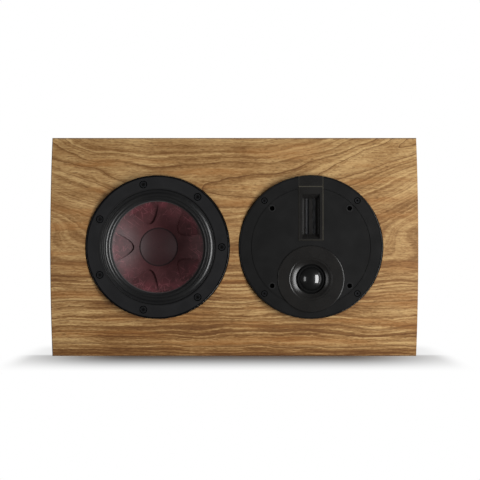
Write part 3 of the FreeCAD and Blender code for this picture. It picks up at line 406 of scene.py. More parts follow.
def walnutVeneer(finish):
    x, y, z = finish.xyz()
    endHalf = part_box("front_baffle")[1].x / mm
    topHalf = middleOf("front_baffle")[1]
    high = z - topHalf
    wrap = y - walnutSet["frontEdge"]
    onEnd = abs(x) > endHalf - walnutSet["turn"]
    onTop = (abs(high) > topHalf - walnutSet["turn"]) * (1 - onEnd)
    along = x + onEnd * ((x > 0) * 2 - 1) * wrap
    across = high + onTop * ((high > 0) * 2 - 1) * wrap
    low = across.between(*walnutSet["lowZone"], 1.0, 0.0)
    upper = 1 - low

    # growth rings of a log cut by the leaf, which leans a little to the log's axis
    drift = leafNoise(finish, "drift", along, across)
    sway = leafNoise(finish, "sway", along, across)
    ripple = leafNoise(finish, "ripple", along, across)
    shake = leafNoise(finish, "shake", along, across)
    off = along - walnutSet["bendAt"]
    bend = off * off * across.between(*walnutSet["bendZone"]) * walnutSet["heartBend"]
    waves = walnutSet["heartWaves"]
    heart = across - walnutSet["heartHeight"] - bend + drift * waves["drift"] + low * sway * waves["sway"]
    depth = walnutSet["planeDepth"] - abs(along - walnutSet["saddle"]) * walnutSet["planeSlope"]
    span = (heart * heart + depth * depth).root()
    steepness = ((abs(heart) + walnutSet["core"]) / span).most(walnutSet["flattest"])
    waves = walnutSet["ringWaves"]
    ring = span + drift * waves["drift"] + ripple * (waves["ripple"] - low * waves["lowRipple"])
    ring = ring + shake * waves["shake"]
    waves = walnutSet["loopWaves"]
    loopRing = span + drift * waves["drift"] + ripple * waves["ripple"]
    coarse, coarseLate = lateLines(finish, ring, steepness, "coarse")
    fine, fineLate = lateLines(finish, ring + walnutSet["fineShift"], steepness, "fine")
    loops, loopLate = lateLines(finish, loopRing, steepness, "loops")
    nearHeart = abs(heart).between(*walnutSet["loopZone"])
    loops = loops * nearHeart
    loopLate = loopLate * nearHeart

    # light and dark from all the layers
    layers = {}
    for name, (scale, detail, shaken) in walnutSet["bands"].items():
        layers[name] = finish.lineNoise(ring + shake * shaken, scale, detail) - 0.5
    layers["streaks"] = leafNoise(finish, "streaks", along, across, lift=ripple)
    for name in ("fibres", "speckle", "patches"):
        layers[name] = leafNoise(finish, name, along, across)
    tone = walnutSet["midTone"]
    for name, layer in layers.items():
        amount, lowAmount = walnutSet["tone"][name]
        tone = tone + layer * (amount + low * lowAmount if lowAmount else amount)
    tone = tone - coarseLate * walnutSet["coarseLate"] - fineLate * low * walnutSet["fineLate"]
    tone = tone - loopLate * upper * walnutSet["loopLate"]
    # painted light and painted shade by height and along the front
    for name in ("upperPaintedLight", "topPaintedLight", "footPaintedShade"):
        tone = tone + across.between(*walnutSet[name])
    tone = tone + along.between(*walnutSet["rightPaintedLight"])

    # colours, lines, pores and a painted shade along the front's outer edges
    wood = finish.ramp(tone, walnutSet["ramp"])
    warm = leafNoise(finish, "warmth", along, across).between(*walnutSet["warmSpan"])
    wood = finish.mix(warm, wood, walnutSet["orange"])
    share, lowShare = walnutSet["coarseShare"]
    dark = coarse * (share + low * lowShare)
    share, lowShare = walnutSet["fineShare"]
    dark = dark.most(fine * (share + low * lowShare)).most(loops * upper * walnutSet["loopShare"])
    wood = finish.mix(dark, wood, walnutSet["line"])
    pores = leafNoise(finish, "cells", along, across).between(*walnutSet["poreSpan"])
    wood = finish.mix(pores * walnutSet["poreShare"], wood, walnutSet["pore"])
    # painted shade darkens the front along its ends and along its top and bottom edges
    first, last = walnutSet["endRimShade"]
    endRimShade = abs(x).between(endHalf - first, endHalf - last) * (1 - onEnd)
    first, last = walnutSet["topRimShade"]
    topRimShade = abs(high).between(topHalf - first, topHalf - last) * (1 - onTop)
    wood = finish.mix(endRimShade.most(topRimShade) * walnutSet["rimShadeShare"], wood, walnutSet["edge"])
    rough = walnutSet["lacquer"] + pores * walnutSet["poreDull"] + layers["fibres"] * walnutSet["fibreDull"]
    relief = finish.bump(0 - pores - dark * walnutSet["lineDepth"], walnutSet["poreDepth"])
    return finish.set(colour=wood, roughness=rough, normal=relief, gloss=walnutSet["gloss"])


# Boards and wadding
boardSet = {
    "black": {"dark": tint(30, 30, 31), "pale": tint(40, 40, 40), "stipple": 1.1, "cloud": 0.02,
              "shares": (0.4, 0.5), "rough": 0.62, "dull": 0.2, "gloss": 0.3, "relief": 0.06},
    "raw": {"dark": tint(142, 112, 80), "pale": tint(168, 138, 104), "chips": 0.7, "span": (0.35, 0.65),
            "rough": 0.85, "relief": 0.08},
    "felt": {"dark": tint(48, 48, 50), "pale": tint(82, 82, 84), "hairs": 0.9, "curl": 1.5, "clumps": 0.08,
             "span": (0.25, 0.75), "rough": 0.95, "sheen": 0.3, "relief": 0.6},
}


def blackBoard(finish):
    look = boardSet["black"]
    stipple = finish.noise(finish.spot(), look["stipple"], detail=3.0)
    cloud = finish.noise(finish.spot(), look["cloud"])
    fineShare, cloudShare = look["shares"]
    colour = finish.mix(stipple * fineShare + cloud * cloudShare, look["dark"], look["pale"])
    return finish.set(colour=colour, roughness=look["rough"] + stipple * look["dull"], gloss=look["gloss"],
                      normal=finish.bump(stipple, look["relief"]))


def rawBoard(finish):
    look = boardSet["raw"]
    chips = finish.noise(finish.spot(), look["chips"], detail=5.0, roughness=0.7)
    colour = finish.mix(chips.between(*look["span"]), look["dark"], look["pale"])
    return finish.set(colour=colour, roughness=look["rough"], normal=finish.bump(chips, look["relief"]))


def woolFelt(finish):
    look = boardSet["felt"]
    hairs = finish.noise(finish.spot(), look["hairs"], detail=6.0, roughness=0.75, distortion=look["curl"])
    clumps = finish.noise(finish.spot(), look["clumps"], detail=3.0)
    colour = finish.mix((hairs + clumps - 0.5).between(*look["span"]), look["dark"], look["pale"])
    return finish.set(colour=colour, roughness=look["rough"], sheen=look["sheen"],
                      normal=finish.bump(hairs, look["relief"]))


# Black finishes of the drivers: fine cast or sprayed grain with slow cloudy changes
blackSet = {
    "flange": {"dark": tint(25, 25, 26), "pale": tint(31, 31, 32), "grain": 2.2, "relief": 0.010,
               "rough": 0.38, "gloss": 0.22},
    "module": {"dark": tint(19, 19, 19), "pale": tint(24, 24, 24), "grain": 2.6, "relief": 0.008,
               "rough": 0.34, "gloss": 0.26},
    "foam": {"dark": tint(34, 34, 36), "pale": tint(58, 58, 60), "grain": 1.6, "relief": 0.2,
             "rough": 0.9, "gloss": 0.2},
    "socket": {"dark": tint(13, 13, 14), "pale": tint(19, 19, 19), "grain": 2.5, "relief": 0.02,
               "rough": 0.6, "gloss": 0.3},
    "moulding": {"dark": tint(24, 24, 25), "pale": tint(33, 33, 34), "grain": 2.0, "relief": 0.03,
                 "rough": 0.45, "gloss": 0.4},
}
grainSet = {"cloud": 0.05, "shares": (0.55, 0.45), "span": (0.3, 0.7), "fineDull": 0.16, "cloudDull": 0.1,
            "shadow": tint(8, 8, 9), "darkSmooth": 0.22, "lipDull": 0.5}


def cloudyGrain(finish, grain):
    # fine grain, slow clouds and the two together
    fine = finish.noise(finish.spot(), grain, detail=3.0, roughness=0.6)
    cloud = finish.noise(finish.spot(), grainSet["cloud"])
    fineShare, cloudShare = grainSet["shares"]
    return fine, cloud, (fine * fineShare + cloud * cloudShare).between(*grainSet["span"])


def speckled(finish, name, dark=None, dull=None):
    # where dark is given, the colour takes a painted shade and is smoother; where dull is given, it takes a
    # painted shade and is rougher
    look = blackSet[name]
    fine, cloud, share = cloudyGrain(finish, look["grain"])
    colour = finish.mix(share, look["dark"], look["pale"])
    rough = look["rough"] + (fine - 0.5) * grainSet["fineDull"] + (cloud - 0.5) * grainSet["cloudDull"]
    if dark is not None:
        colour = finish.mix(dark, colour, grainSet["shadow"])
        rough = rough - dark * grainSet["darkSmooth"]
    if dull is not None:
        colour = finish.mix(dull, colour, grainSet["shadow"])
        rough = rough + dull * grainSet["lipDull"]
    return finish.set(colour=colour, roughness=rough, gloss=look["gloss"],
                      normal=finish.bump(fine, look["relief"]))


# Places on the two drivers, in millimetres
# rim, lip and the bores mark where the flanges take a painted shade
driverSet = {"woofer": middleOf("woofer_cone"), "module": middleOf("tweeter_screws"), "rim": (86.0, 86.8),
             "lip": (72.6, 74.0, 0.75, 0.0), "wooferBore": 4.9, "moduleBore": 4.1, "boreEdge": 0.4,
             "moduleRimShadeShare": 0.35}
# bright is the colour of the painted highlight along the heads' edges
screwSet = {"wooferRing": 79.1, "wooferCount": 7, "wooferHead": 3.6, "moduleOffset": 57.28,
            "moduleHead": 2.8, "dark": tint(9, 9, 10), "pale": tint(17, 17, 19), "bright": tint(44, 46, 49),
            "grain": 2.0, "highlightEdge": (-0.9, -0.5), "highlightShare": 0.4, "grainShare": 0.6,
            "rough": 0.34, "dull": 0.1, "metallic": 0.5, "gloss": 0.5, "relief": 0.01}


def wooferScrewReach(finish):
    # how far a point is from the nearest of the screws in a ring
    x, _, z = finish.xyz()
    middleX, middleZ = driverSet["woofer"]
    outX = x - middleX
    outZ = z - middleZ
    turn = 2 * math.pi / screwSet["wooferCount"]
    share = outZ.maths("ARCTAN2", outZ, outX) / turn
    swing = (share - share.maths("ROUND", share)) * (turn * screwSet["wooferRing"])
    radial = finish.radius(driverSet["woofer"]) - screwSet["wooferRing"]
    return (swing * swing + radial * radial).root()


def moduleScrewReach(finish):
    # how far a point is from the nearest of the four screws on a square
    x, _, z = finish.xyz()
    middleX, middleZ = driverSet["module"]
    sideX = abs(x - middleX) - screwSet["moduleOffset"]
    sideZ = abs(z - middleZ) - screwSet["moduleOffset"]
    return (sideX * sideX + sideZ * sideZ).root()


def flangeBlack(finish):
    # painted shade on the outer edge, in the screws' pockets and on the inner lip
    radius = finish.radius(driverSet["woofer"])
    bore = driverSet["wooferBore"]
    pocketShade = wooferScrewReach(finish).between(bore - driverSet["boreEdge"], bore, 1.0, 0.0)
    dark = radius.between(*driverSet["rim"]).most(pocketShade)
    return speckled(finish, "flange", dark=dark, dull=radius.between(*driverSet["lip"]))


def moduleBlack(finish):
    # painted shade on the outer edge, fainter, and in the screws' pockets
    radius = finish.radius(driverSet["module"])
    bore = driverSet["moduleBore"]
    pocketShade = moduleScrewReach(finish).between(bore - driverSet["boreEdge"], bore, 1.0, 0.0)
    dark = (radius.between(*driverSet["rim"]) * driverSet["moduleRimShadeShare"]).most(pocketShade)
    return speckled(finish, "module", dark=dark)


def screwBlack(finish):
    # black-oxide heads with a painted highlight, a little paler along the head's edge
    right = finish.xyz()[0] > 0
    onWoofer = wooferScrewReach(finish) - screwSet["wooferHead"]
    onModule = moduleScrewReach(finish) - screwSet["moduleHead"]
    edge = onWoofer * (1 - right) + onModule * right
    grain = finish.noise(finish.spot(), screwSet["grain"], detail=3.0)
    paintedHighlight = edge.between(*screwSet["highlightEdge"]) * (screwSet["highlightShare"] + grain * screwSet["grainShare"])
    colour = finish.mix(grain, screwSet["dark"], screwSet["pale"])
    colour = finish.mix(paintedHighlight, colour, screwSet["bright"])
    return finish.set(colour=colour, roughness=screwSet["rough"] + grain * screwSet["dull"],
                      metallic=screwSet["metallic"], gloss=screwSet["gloss"],
                      normal=finish.bump(grain, screwSet["relief"]))


# Satin black plates; the raised strip's edges are rubbed bare along a hair line, which is also a painted
# highlight, brighter on the right than on the left
plateSet = {
    "dark": tint(24, 23, 22), "pale": tint(29, 28, 27), "bareAndHighlight": tint(66, 62, 50), "grain": 2.6,
    "step": 210.6, "sideLine": (0.88, 0.33), "rightHighlightShare": 1.0, "leftHighlightShare": 0.3,
    "stepLine": (0.33, 0.77, 0.9, 0.0), "footLine": (0.33, 0.88, 0.5, 0.0), "footFade": (1.0, 0.5),
    "room": 0.1, "wearAndHighlight": 0.6, "wearGrain": 0.5, "rough": 0.27, "dull": 0.08,
    "bareSpan": (0.05, 0.3, 0.0, 0.5), "gloss": 0.36, "relief": 0.003,
}


def plateBlack(finish):
    x, _, z = finish.xyz()
    fine, cloud, share = cloudyGrain(finish, plateSet["grain"])
    colour = finish.mix(share, plateSet["dark"], plateSet["pale"])
    stripLow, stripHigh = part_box("ribbon_bezel")
    half = (stripHigh.x - stripLow.x) / 2 / mm
    foot = stripLow.z / mm
    side = x - middleOf("ribbon_bezel")[0]
    first, last = plateSet["sideLine"]
    right = side.between(half - first, half - last, 0.0, plateSet["rightHighlightShare"])
    left = (0 - side).between(half - first, half - last, 0.0, plateSet["leftHighlightShare"])
    step = abs(z - plateSet["step"]).between(*plateSet["stepLine"])
    footLine = (z - foot).between(*plateSet["footLine"])
    first, last = plateSet["footFade"]
    onStrip = z.between(foot - first, foot - last) * (abs(side) < half + plateSet["room"])
    wearAndHighlight = right.most(left).most(step).most(footLine) * onStrip
    wearAndHighlight = wearAndHighlight * (plateSet["wearAndHighlight"] + fine * plateSet["wearGrain"])
    colour = finish.mix(wearAndHighlight, colour, plateSet["bareAndHighlight"])
    rough = plateSet["rough"] + (fine - 0.5) * plateSet["dull"] + (cloud - 0.5) * plateSet["dull"]
    return finish.set(colour=colour, roughness=rough + wearAndHighlight.between(*plateSet["bareSpan"]),
                      gloss=plateSet["gloss"], normal=finish.bump(fine, plateSet["relief"]))


# Rubber edge of the bass cone: soft sheen with a slow bloom, a painted shade and duller at its inner foot,
# greyer where it is glued to the cone
rubberSet = {
    "dark": tint(13, 13, 14), "pale": tint(19, 19, 19), "glue": tint(60, 56, 56), "bead": tint(13, 13, 14),
    "fine": 2.5, "cloud": 0.04, "shares": (0.3, 0.7), "span": (0.3, 0.7),
    "foot": (58.4, 59.2, 1.0, 0.0), "glued": (56.9, 57.2, 0.8, 0.0), "clamped": (66.5, 67.2, 0.0, 0.8),
    "rough": 0.33, "bloom": 0.04, "footDull": 0.4, "gloss": 0.5, "relief": 0.002,
}


def surroundRubber(finish):
    radius = finish.radius(driverSet["woofer"])
    fine = finish.noise(finish.spot(), rubberSet["fine"])
    cloud = finish.noise(finish.spot(), rubberSet["cloud"])
    fineShare, cloudShare = rubberSet["shares"]
    share = (fine * fineShare + cloud * cloudShare).between(*rubberSet["span"])
    # painted shade in the crease where the rubber meets the cone
    foot = radius.between(*rubberSet["foot"])
    colour = finish.mix(share, rubberSet["dark"], rubberSet["pale"])
    colour = finish.mix(foot, colour, grainSet["shadow"])
    colour = finish.mix(radius.between(*rubberSet["glued"]), colour, rubberSet["glue"])
    colour = finish.mix(radius.between(*rubberSet["clamped"]), colour, rubberSet["bead"])
    rough = rubberSet["rough"] + (cloud - 0.5) * rubberSet["bloom"] + foot * rubberSet["footDull"]
    return finish.set(colour=colour, roughness=rough, gloss=rubberSet["gloss"],
                      normal=finish.bump(fine, rubberSet["relief"]))


# Maroon pressed-fibre cone and its cap
coneSet = {
    "deep": tint(57, 30, 32), "bright": tint(70, 40, 42), "shade": tint(42, 21, 24),
    "rosy": tint(90, 44, 50), "fibre": tint(128, 76, 82), "cap": tint(34, 12, 15), "seam": tint(14, 6, 8),
    "cloud": 0.04, "cloudSpan": (0.3, 0.7), "mottle": 0.9, "mottleSpan": (0.45, 0.75, 0.0, 0.3),
    "patches": 0.07, "patchSpan": (0.4, 0.65), "rosyZone": (36.0, 54.0), "rosyShare": 0.7,
    "turns": (0.15, 0.95, 1.75, 2.5), "seedStep": 3.1, "fibreScale": (0.08, 0.9), "fibreSpan": (0.72, 0.79),
    "fibreCurl": 8.0, "curlScale": 0.03, "fibreZone": (30.0, 52.0, 0.2, 1.0), "fibreShare": 0.5,
    "capEdge": 23.4, "capFade": 0.3, "capShare": 0.75, "seamFade": (0.4, 1.2, 1.0, 0.0), "seamShare": 0.8,
    "rough": 0.46, "seamDull": 0.3, "capDull": 0.04, "mottleDull": 0.1, "gloss": 0.29,
    "fibreRise": 0.4, "mottleRise": 0.5, "relief": 0.02,
}


def fibreStreaks(finish, turn, seed):
    # short thin fibres that all lie about one way
    x, _, z = finish.xyz()
    cos, sin = math.cos(turn), math.sin(turn)
    curl = (finish.noise(finish.spot(), coneSet["curlScale"], detail=1.0) - 0.5) * coneSet["fibreCurl"]
    alongScale, acrossScale = coneSet["fibreScale"]
    along = (x * cos + z * sin) * alongScale
    across = (z * cos - x * sin + curl) * acrossScale
    lines = finish.noise(finish.vector(along, across, seed), detail=0.0)
    return lines.between(*coneSet["fibreSpan"])


def woodPulp(finish):
    radius = finish.radius(driverSet["woofer"])
    cloud = finish.noise(finish.spot(), coneSet["cloud"])
    mottle = finish.noise(finish.spot(), coneSet["mottle"], detail=3.0)
    patches = finish.noise(finish.spot(), coneSet["patches"])
    colour = finish.mix(cloud.between(*coneSet["cloudSpan"]), coneSet["deep"], coneSet["bright"])
    colour = finish.mix(mottle.between(*coneSet["mottleSpan"]), colour, coneSet["shade"])
    rosy = patches.between(*coneSet["patchSpan"]) * radius.between(*coneSet["rosyZone"])
    colour = finish.mix(rosy * coneSet["rosyShare"], colour, coneSet["rosy"])
    streaks = fibreStreaks(finish, coneSet["turns"][0], 1.0)
    for number, turn in enumerate(coneSet["turns"][1:], 1):
        streaks = streaks.most(fibreStreaks(finish, turn, coneSet["seedStep"] * number + 1))
    streaks = streaks * radius.between(*coneSet["fibreZone"])
    colour = finish.mix(streaks * coneSet["fibreShare"], colour, coneSet["fibre"])
    edge = coneSet["capEdge"]
    cap = radius.between(edge - coneSet["capFade"], edge + coneSet["capFade"], 1.0, 0.0)
    seam = abs(radius - edge).between(*coneSet["seamFade"])
    colour = finish.mix(cap * coneSet["capShare"], colour, coneSet["cap"])
    colour = finish.mix(seam * coneSet["seamShare"], colour, coneSet["seam"])
    relief = finish.bump(streaks * coneSet["fibreRise"] + mottle * coneSet["mottleRise"], coneSet["relief"])
    rough = coneSet["rough"] + seam * coneSet["seamDull"] + cap * coneSet["capDull"]
    rough = rough + (mottle - 0.5) * coneSet["mottleDull"]
    return finish.set(colour=colour, roughness=rough, gloss=coneSet["gloss"], normal=relief)


# Coated cloth dome, glossy but for the dull roll round it, painted near black as shade deep in the throat
domeSet = {
    "dark": tint(12, 12, 12), "pale": tint(25, 25, 25), "rollShade": tint(5, 5, 5), "roll": (13.6, 14.6),
    "threads": 9.0, "dust": 1.4, "weaveShare": 0.25, "dustShare": 0.5, "rough": 0.3, "dustDull": 0.1,
    "rollDull": 0.5, "gloss": 0.16, "coatRoughness": 0.06, "coatIor": 1.55, "relief": 0.004,
}


def domeCloth(finish):
    x, _, z = finish.xyz()
    roll = finish.radius(middleOf("dome_diaphragm")).between(*domeSet["roll"])
    weave = (x * domeSet["threads"]).wave() * (z * domeSet["threads"]).wave()
    dust = finish.noise(finish.spot(), domeSet["dust"], detail=3.0)
    share = weave * domeSet["weaveShare"] + dust * domeSet["dustShare"]
    colour = finish.mix(share, domeSet["dark"], domeSet["pale"])
    # painted shade: the roll deep in the throat is darkened near black
    colour = finish.mix(roll, colour, domeSet["rollShade"])
    rough = domeSet["rough"] + dust * domeSet["dustDull"] + roll * domeSet["rollDull"]
    return finish.set(colour=colour, roughness=rough, gloss=domeSet["gloss"],
                      normal=finish.bump(weave, domeSet["relief"]), coat=1 - roll,
                      coatRoughness=domeSet["coatRoughness"], coatIor=domeSet["coatIor"])


# Dark film with a foil band down its middle, brighter along two tracks
filmSet = {
    "dark": tint(21, 21, 22), "foil": tint(88, 88, 90), "pale": tint(106, 106, 108),
    "line": tint(138, 138, 140), "half": 6.6, "edge": 0.6, "track": 4.9,
    "trackLine": (0.3, 0.9, 0.8, 0.0), "grain": (0.2, 1.0, 1.5), "rough": 0.5,
    "dull": 0.15, "metallic": 0.2, "relief": 0.02,
}


def ribbonFoil(finish):
    side = abs(finish.xyz()[0] - middleOf("ribbon_film")[0])
    tone = finish.noise(finish.stretched(filmSet["grain"]), detail=3.0)
    track = abs(side - filmSet["track"]).between(*filmSet["trackLine"])
    beside = side.between(filmSet["half"] - filmSet["edge"], filmSet["half"])
    colour = finish.mix(tone, filmSet["foil"], filmSet["pale"])
    colour = finish.mix(track, colour, filmSet["line"])
    colour = finish.mix(beside, colour, filmSet["dark"])
    return finish.set(colour=colour, roughness=filmSet["rough"] + tone * filmSet["dull"],
                      metallic=filmSet["metallic"], normal=finish.bump(tone, filmSet["relief"]))


# Metals of the motors, plates and posts
metalSet = {
    "steel": {"pale": tint(132, 134, 138), "rough": 0.35},
    "zinc": {"pale": tint(168, 168, 164), "rough": 0.38},
    "brass": {"pale": tint(196, 164, 88), "rough": 0.25},
}
drawnSet = {"scales": (0.15, 0.15, 3.0), "cloud": 0.06, "shares": (0.6, 0.4), "span": (0.3, 0.7),
            "shade": 0.6, "dull": 0.15, "relief": 0.01}


def brushed(finish, name):
    look = metalSet[name]
    drawn = finish.noise(finish.stretched(drawnSet["scales"]), detail=3.0)
    cloud = finish.noise(finish.spot(), drawnSet["cloud"])
    drawnShare, cloudShare = drawnSet["shares"]
    share = (drawn * drawnShare + cloud * cloudShare).between(*drawnSet["span"])
    dark = (*[level * drawnSet["shade"] for level in look["pale"][:3]], 1.0)
    return finish.set(colour=finish.mix(share, dark, look["pale"]), metallic=1.0,
                      roughness=look["rough"] + (drawn - 0.5) * drawnSet["dull"],
                      normal=finish.bump(drawn, drawnSet["relief"]))


# Magnet, coils and spider
motorSet = {
    "ferrite": {"dark": tint(28, 28, 30), "pale": tint(38, 38, 41), "grit": 1.2, "rough": 0.55, "dull": 0.2,
                "relief": 0.04},
    "winding": {"dark": tint(110, 56, 30), "pale": tint(182, 104, 62), "wires": 12.0, "rough": 0.35,
                "metallic": 0.85, "relief": 0.1},
    "former": {"dark": tint(70, 52, 34), "pale": tint(104, 80, 54), "scales": (1.0, 4.0, 1.0), "rough": 0.5,
               "dull": 0.1},
    "spider": {"dark": tint(120, 92, 48), "pale": tint(196, 160, 98), "threads": 6.0, "dust": 0.5,
               "shares": (0.6, 0.3), "rough": 0.85, "relief": 0.1},
}


def ferrite(finish):
    look = motorSet["ferrite"]
    grit = finish.noise(finish.spot(), look["grit"], detail=4.0)
    return finish.set(colour=finish.mix(grit, look["dark"], look["pale"]),
                      roughness=look["rough"] + grit * look["dull"],
                      normal=finish.bump(grit, look["relief"]))


def copperWinding(finish):
    # turns of enamelled wire round the coil
    look = motorSet["winding"]
    turns = (finish.xyz()[1] * look["wires"]).wave() * 0.5 + 0.5
    return finish.set(colour=finish.mix(turns, look["dark"], look["pale"]), roughness=look["rough"],
                      metallic=look["metallic"], normal=finish.bump(turns, look["relief"]))


def coilFormer(finish):
    look = motorSet["former"]
    grain = finish.noise(finish.stretched(look["scales"]), detail=3.0)
    return finish.set(colour=finish.mix(grain, look["dark"], look["pale"]),
                      roughness=look["rough"] + grain * look["dull"])


def spiderCloth(finish):
    look = motorSet["spider"]
    x, _, z = finish.xyz()
    weave = (x * look["threads"]).wave() * (z * look["threads"]).wave() * 0.5 + 0.5
    dust = finish.noise(finish.spot(), look["dust"], detail=3.0)
    weaveShare, dustShare = look["shares"]
    colour = finish.mix(weave * weaveShare + dust * dustShare, look["dark"], look["pale"])
    return finish.set(colour=colour, roughness=look["rough"], normal=finish.bump(weave, look["relief"]))


# Crossover, wiring and rear fittings
fittingSet = {
    "board": {"first": tint(34, 70, 46), "second": tint(48, 92, 60), "grain": 0.5, "rough": 0.4,
              "relief": 0.02},
    "can": {"first": tint(120, 34, 30), "second": tint(158, 52, 44), "grain": 0.3, "rough": 0.32,
            "relief": 0.02},
    "cement": {"first": tint(186, 180, 168), "second": tint(150, 146, 136), "grain": 1.2, "rough": 0.85,
               "relief": 0.1},
    "jacket": {"first": tint(28, 28, 30), "second": tint(44, 44, 46), "grain": 0.8, "rough": 0.5,
               "relief": 0.02},
    "phenolic": {"first": tint(86, 56, 32), "second": tint(120, 82, 48), "grain": 0.9, "rough": 0.5,
                 "relief": 0.02},
    "redKnob": {"first": tint(150, 20, 18), "second": tint(178, 34, 28), "grain": 0.6, "rough": 0.26,
                "relief": 0.01, "coat": 0.3},
    "blackKnob": {"first": tint(20, 20, 21), "second": tint(34, 34, 35), "grain": 0.6, "rough": 0.26,
                  "relief": 0.01, "coat": 0.3},
}
mottleSet = {"cloud": 0.05, "shares": (0.6, 0.4), "span": (0.3, 0.7), "dull": 0.15}


def mottled(finish, name):
    look = fittingSet[name]
    grain = finish.noise(finish.spot(), look["grain"], detail=4.0, roughness=0.6)
    cloud = finish.noise(finish.spot(), mottleSet["cloud"])
    grainShare, cloudShare = mottleSet["shares"]
    share = (grain * grainShare + cloud * cloudShare).between(*mottleSet["span"])
    return finish.set(colour=finish.mix(share, look["first"], look["second"]),
                      roughness=look["rough"] + (grain - 0.5) * mottleSet["dull"],
                      normal=finish.bump(grain, look["relief"]), coat=look.get("coat", 0.0))


# Each slot's finish: a function of its own, or a shared one with the name of its settings
finishes = {
    "walnut": (walnutVeneer,), "black_board": (blackBoard,), "raw_board": (rawBoard,), "felt": (woolFelt,),
    "flange_black": (flangeBlack,), "module_black": (moduleBlack,), "plate_black": (plateBlack,),
    "screw_black": (screwBlack,), "gasket_foam": (speckled, "foam"), "surround_rubber": (surroundRubber,),
    "pulp": (woodPulp,), "former": (coilFormer,), "winding": (copperWinding,),
    "spider_cloth": (spiderCloth,), "motor_steel": (brushed, "steel"), "ferrite": (ferrite,),
    "phenolic": (mottled, "phenolic"), "film": (ribbonFoil,), "dome_cloth": (domeCloth,),
    "moulding": (speckled, "moulding"), "socket_rubber": (speckled, "socket"),
    "circuit_board": (mottled, "board"), "capacitor": (mottled, "can"), "cement": (mottled, "cement"),
    "lead_jacket": (mottled, "jacket"), "post_metal": (brushed, "brass"), "knob_red": (mottled, "redKnob"),
    "knob_black": (mottled, "blackKnob"), "plate_steel": (brushed, "zinc"),
}

made = {slotName: make(Finish(slotName), *look) for slotName, (make, *look) in finishes.items()}
for row in record["subparts"]:
    materials = frame["nodes"][row["node"]].data.materials
    materials.clear()
    materials.append(made[row["material_slot"]])
print("finishes made,", len(made))


# Pieces built here in place of the plain soft solids
def newPiece(name, bm, slotName, smooth=True):
    bmesh.ops.recalc_face_normals(bm, faces=bm.faces)
    mesh = bpy.data.meshes.new(name)
    bm.to_mesh(mesh)
    bm.free()
    for face in mesh.polygons:
        face.use_smooth = smooth
    mesh.materials.append(made[slotName])
    piece = bpy.data.objects.new(name, mesh)
    bpy.context.collection.objects.link(piece)
    return piece


def turnedShell(loop, centre, steps):
    # a closed loop of (radius, depth) points turned about the driver's axis
    bm = bmesh.new()
    rings = []
    for number in range(steps):
        angle = 2 * math.pi * number / steps
        ring = []
        for radius, depth in loop:
            place = (centre[0] + radius * math.cos(angle), depth, centre[1] + radius * math.sin(angle))
            ring.append(bm.verts.new(place))
        rings.append(ring)
    count = len(loop)
    for number in range(steps):
        here, there = rings[number], rings[(number + 1) % steps]
        for point in range(count):
            after = (point + 1) % count
            bm.faces.new((here[point], here[after], there[after], there[point]))
    return bm


def joinRows(bm, rows):
    # faces between rows of as many points each
    for lower, upper in zip(rows, rows[1:]):
        for column in range(len(lower) - 1):
            bm.faces.new((lower[column], lower[column + 1], upper[column + 1], upper[column]))


def eased(share):
    # from 0 to 1, slow at both ends
    return share * share * (3 - 2 * share)


def flexing(piece, centre, outer, inner):
    # the outer rim stays with the cabinet and the inner rim goes with the cone
    low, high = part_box("woofer_cone")
    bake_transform(piece, "cabinet", "woofer_moving_assembly", start=tuple(high), end=tuple(low))
    weights = piece.data.attributes["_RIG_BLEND"].data
    for vertex, weight in zip(piece.data.vertices, weights):
        radius = math.hypot(vertex.co.x - centre[0], vertex.co.z - centre[1])
        weight.value = eased(min(max((outer - radius) / (outer - inner), 0.0), 1.0))


# Rubber edge: a clamped outer bead, then two rolls side by side, then the edge glued to the cone
rollSet = {
    "thickness": 0.8 * mm, "turnSteps": 256, "arcSteps": 20, "corner": 0.1 * mm, "weld": 0.001 * mm,
    "gluedEdge": 56.3 * mm, "innerFoot": 57.5 * mm, "heldFrom": 66.9 * mm,
    "hollow": (58.8 * mm, 68.4 * mm), "hollowSlopes": (1.8 * mm, 2.2 * mm), "hollowDepth": 3.6 * mm,
    # the bead, the outer roll's two flanks and the inner roll, each turned through these degrees
    "arcs": [{"radius": 69.35 * mm, "round": 5.0 * mm, "drop": 0.8 * mm, "turn": (12, -20.7)},
             {"radius": 64.55 * mm, "round": 5.0 * mm, "drop": 0.1 * mm, "turn": (37.2, 0)},
             {"radius": 64.55 * mm, "round": 3.75 * mm, "drop": 0.1 * mm, "turn": (0, -45)},
             {"radius": 61.0 * mm, "round": 3.75 * mm, "drop": 1.3 * mm, "turn": (13.9, -62)}],
}


def rubberRoll():
    low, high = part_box("woofer_surround")
    centre = ((low.x + high.x) / 2, (low.z + high.z) / 2)
    outer = (high.x - low.x) / 2
    back = high.y
    face = back - rollSet["thickness"]
    steps = rollSet["arcSteps"]
    front = [(outer, back)]
    for arc in rollSet["arcs"]:
        first, last = arc["turn"]
        middle = low.y + arc["drop"] + arc["round"]
        for number in range(steps + 1):
            angle = math.radians(first + (last - first) * eased(number / steps))
            radius = min(arc["radius"] + arc["round"] * math.sin(angle), outer)
            front.append((radius, middle - arc["round"] * math.cos(angle)))
    foot = rollSet["innerFoot"]
    edge = rollSet["gluedEdge"]
    corner = rollSet["corner"]
    front += [(foot, face - corner), (foot - corner, face), (edge + corner, face), (edge, face + corner),
              (edge, back)]
    near, far = rollSet["hollow"]
    nearSlope, farSlope = rollSet["hollowSlopes"]
    deep = back - rollSet["hollowDepth"]
    hollow = [(near, back), (near + nearSlope, deep), (far - farSlope, deep), (far, back)]
    shell = turnedShell(front + hollow, centre, rollSet["turnSteps"])
    # the outer roll's two flanks share the ring at its top
    bmesh.ops.remove_doubles(shell, verts=shell.verts[:], dist=rollSet["weld"])
    piece = newPiece("rubberRoll", shell, "surround_rubber")
    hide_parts("woofer_surround")
    flexing(piece, centre, rollSet["heldFrom"], foot)


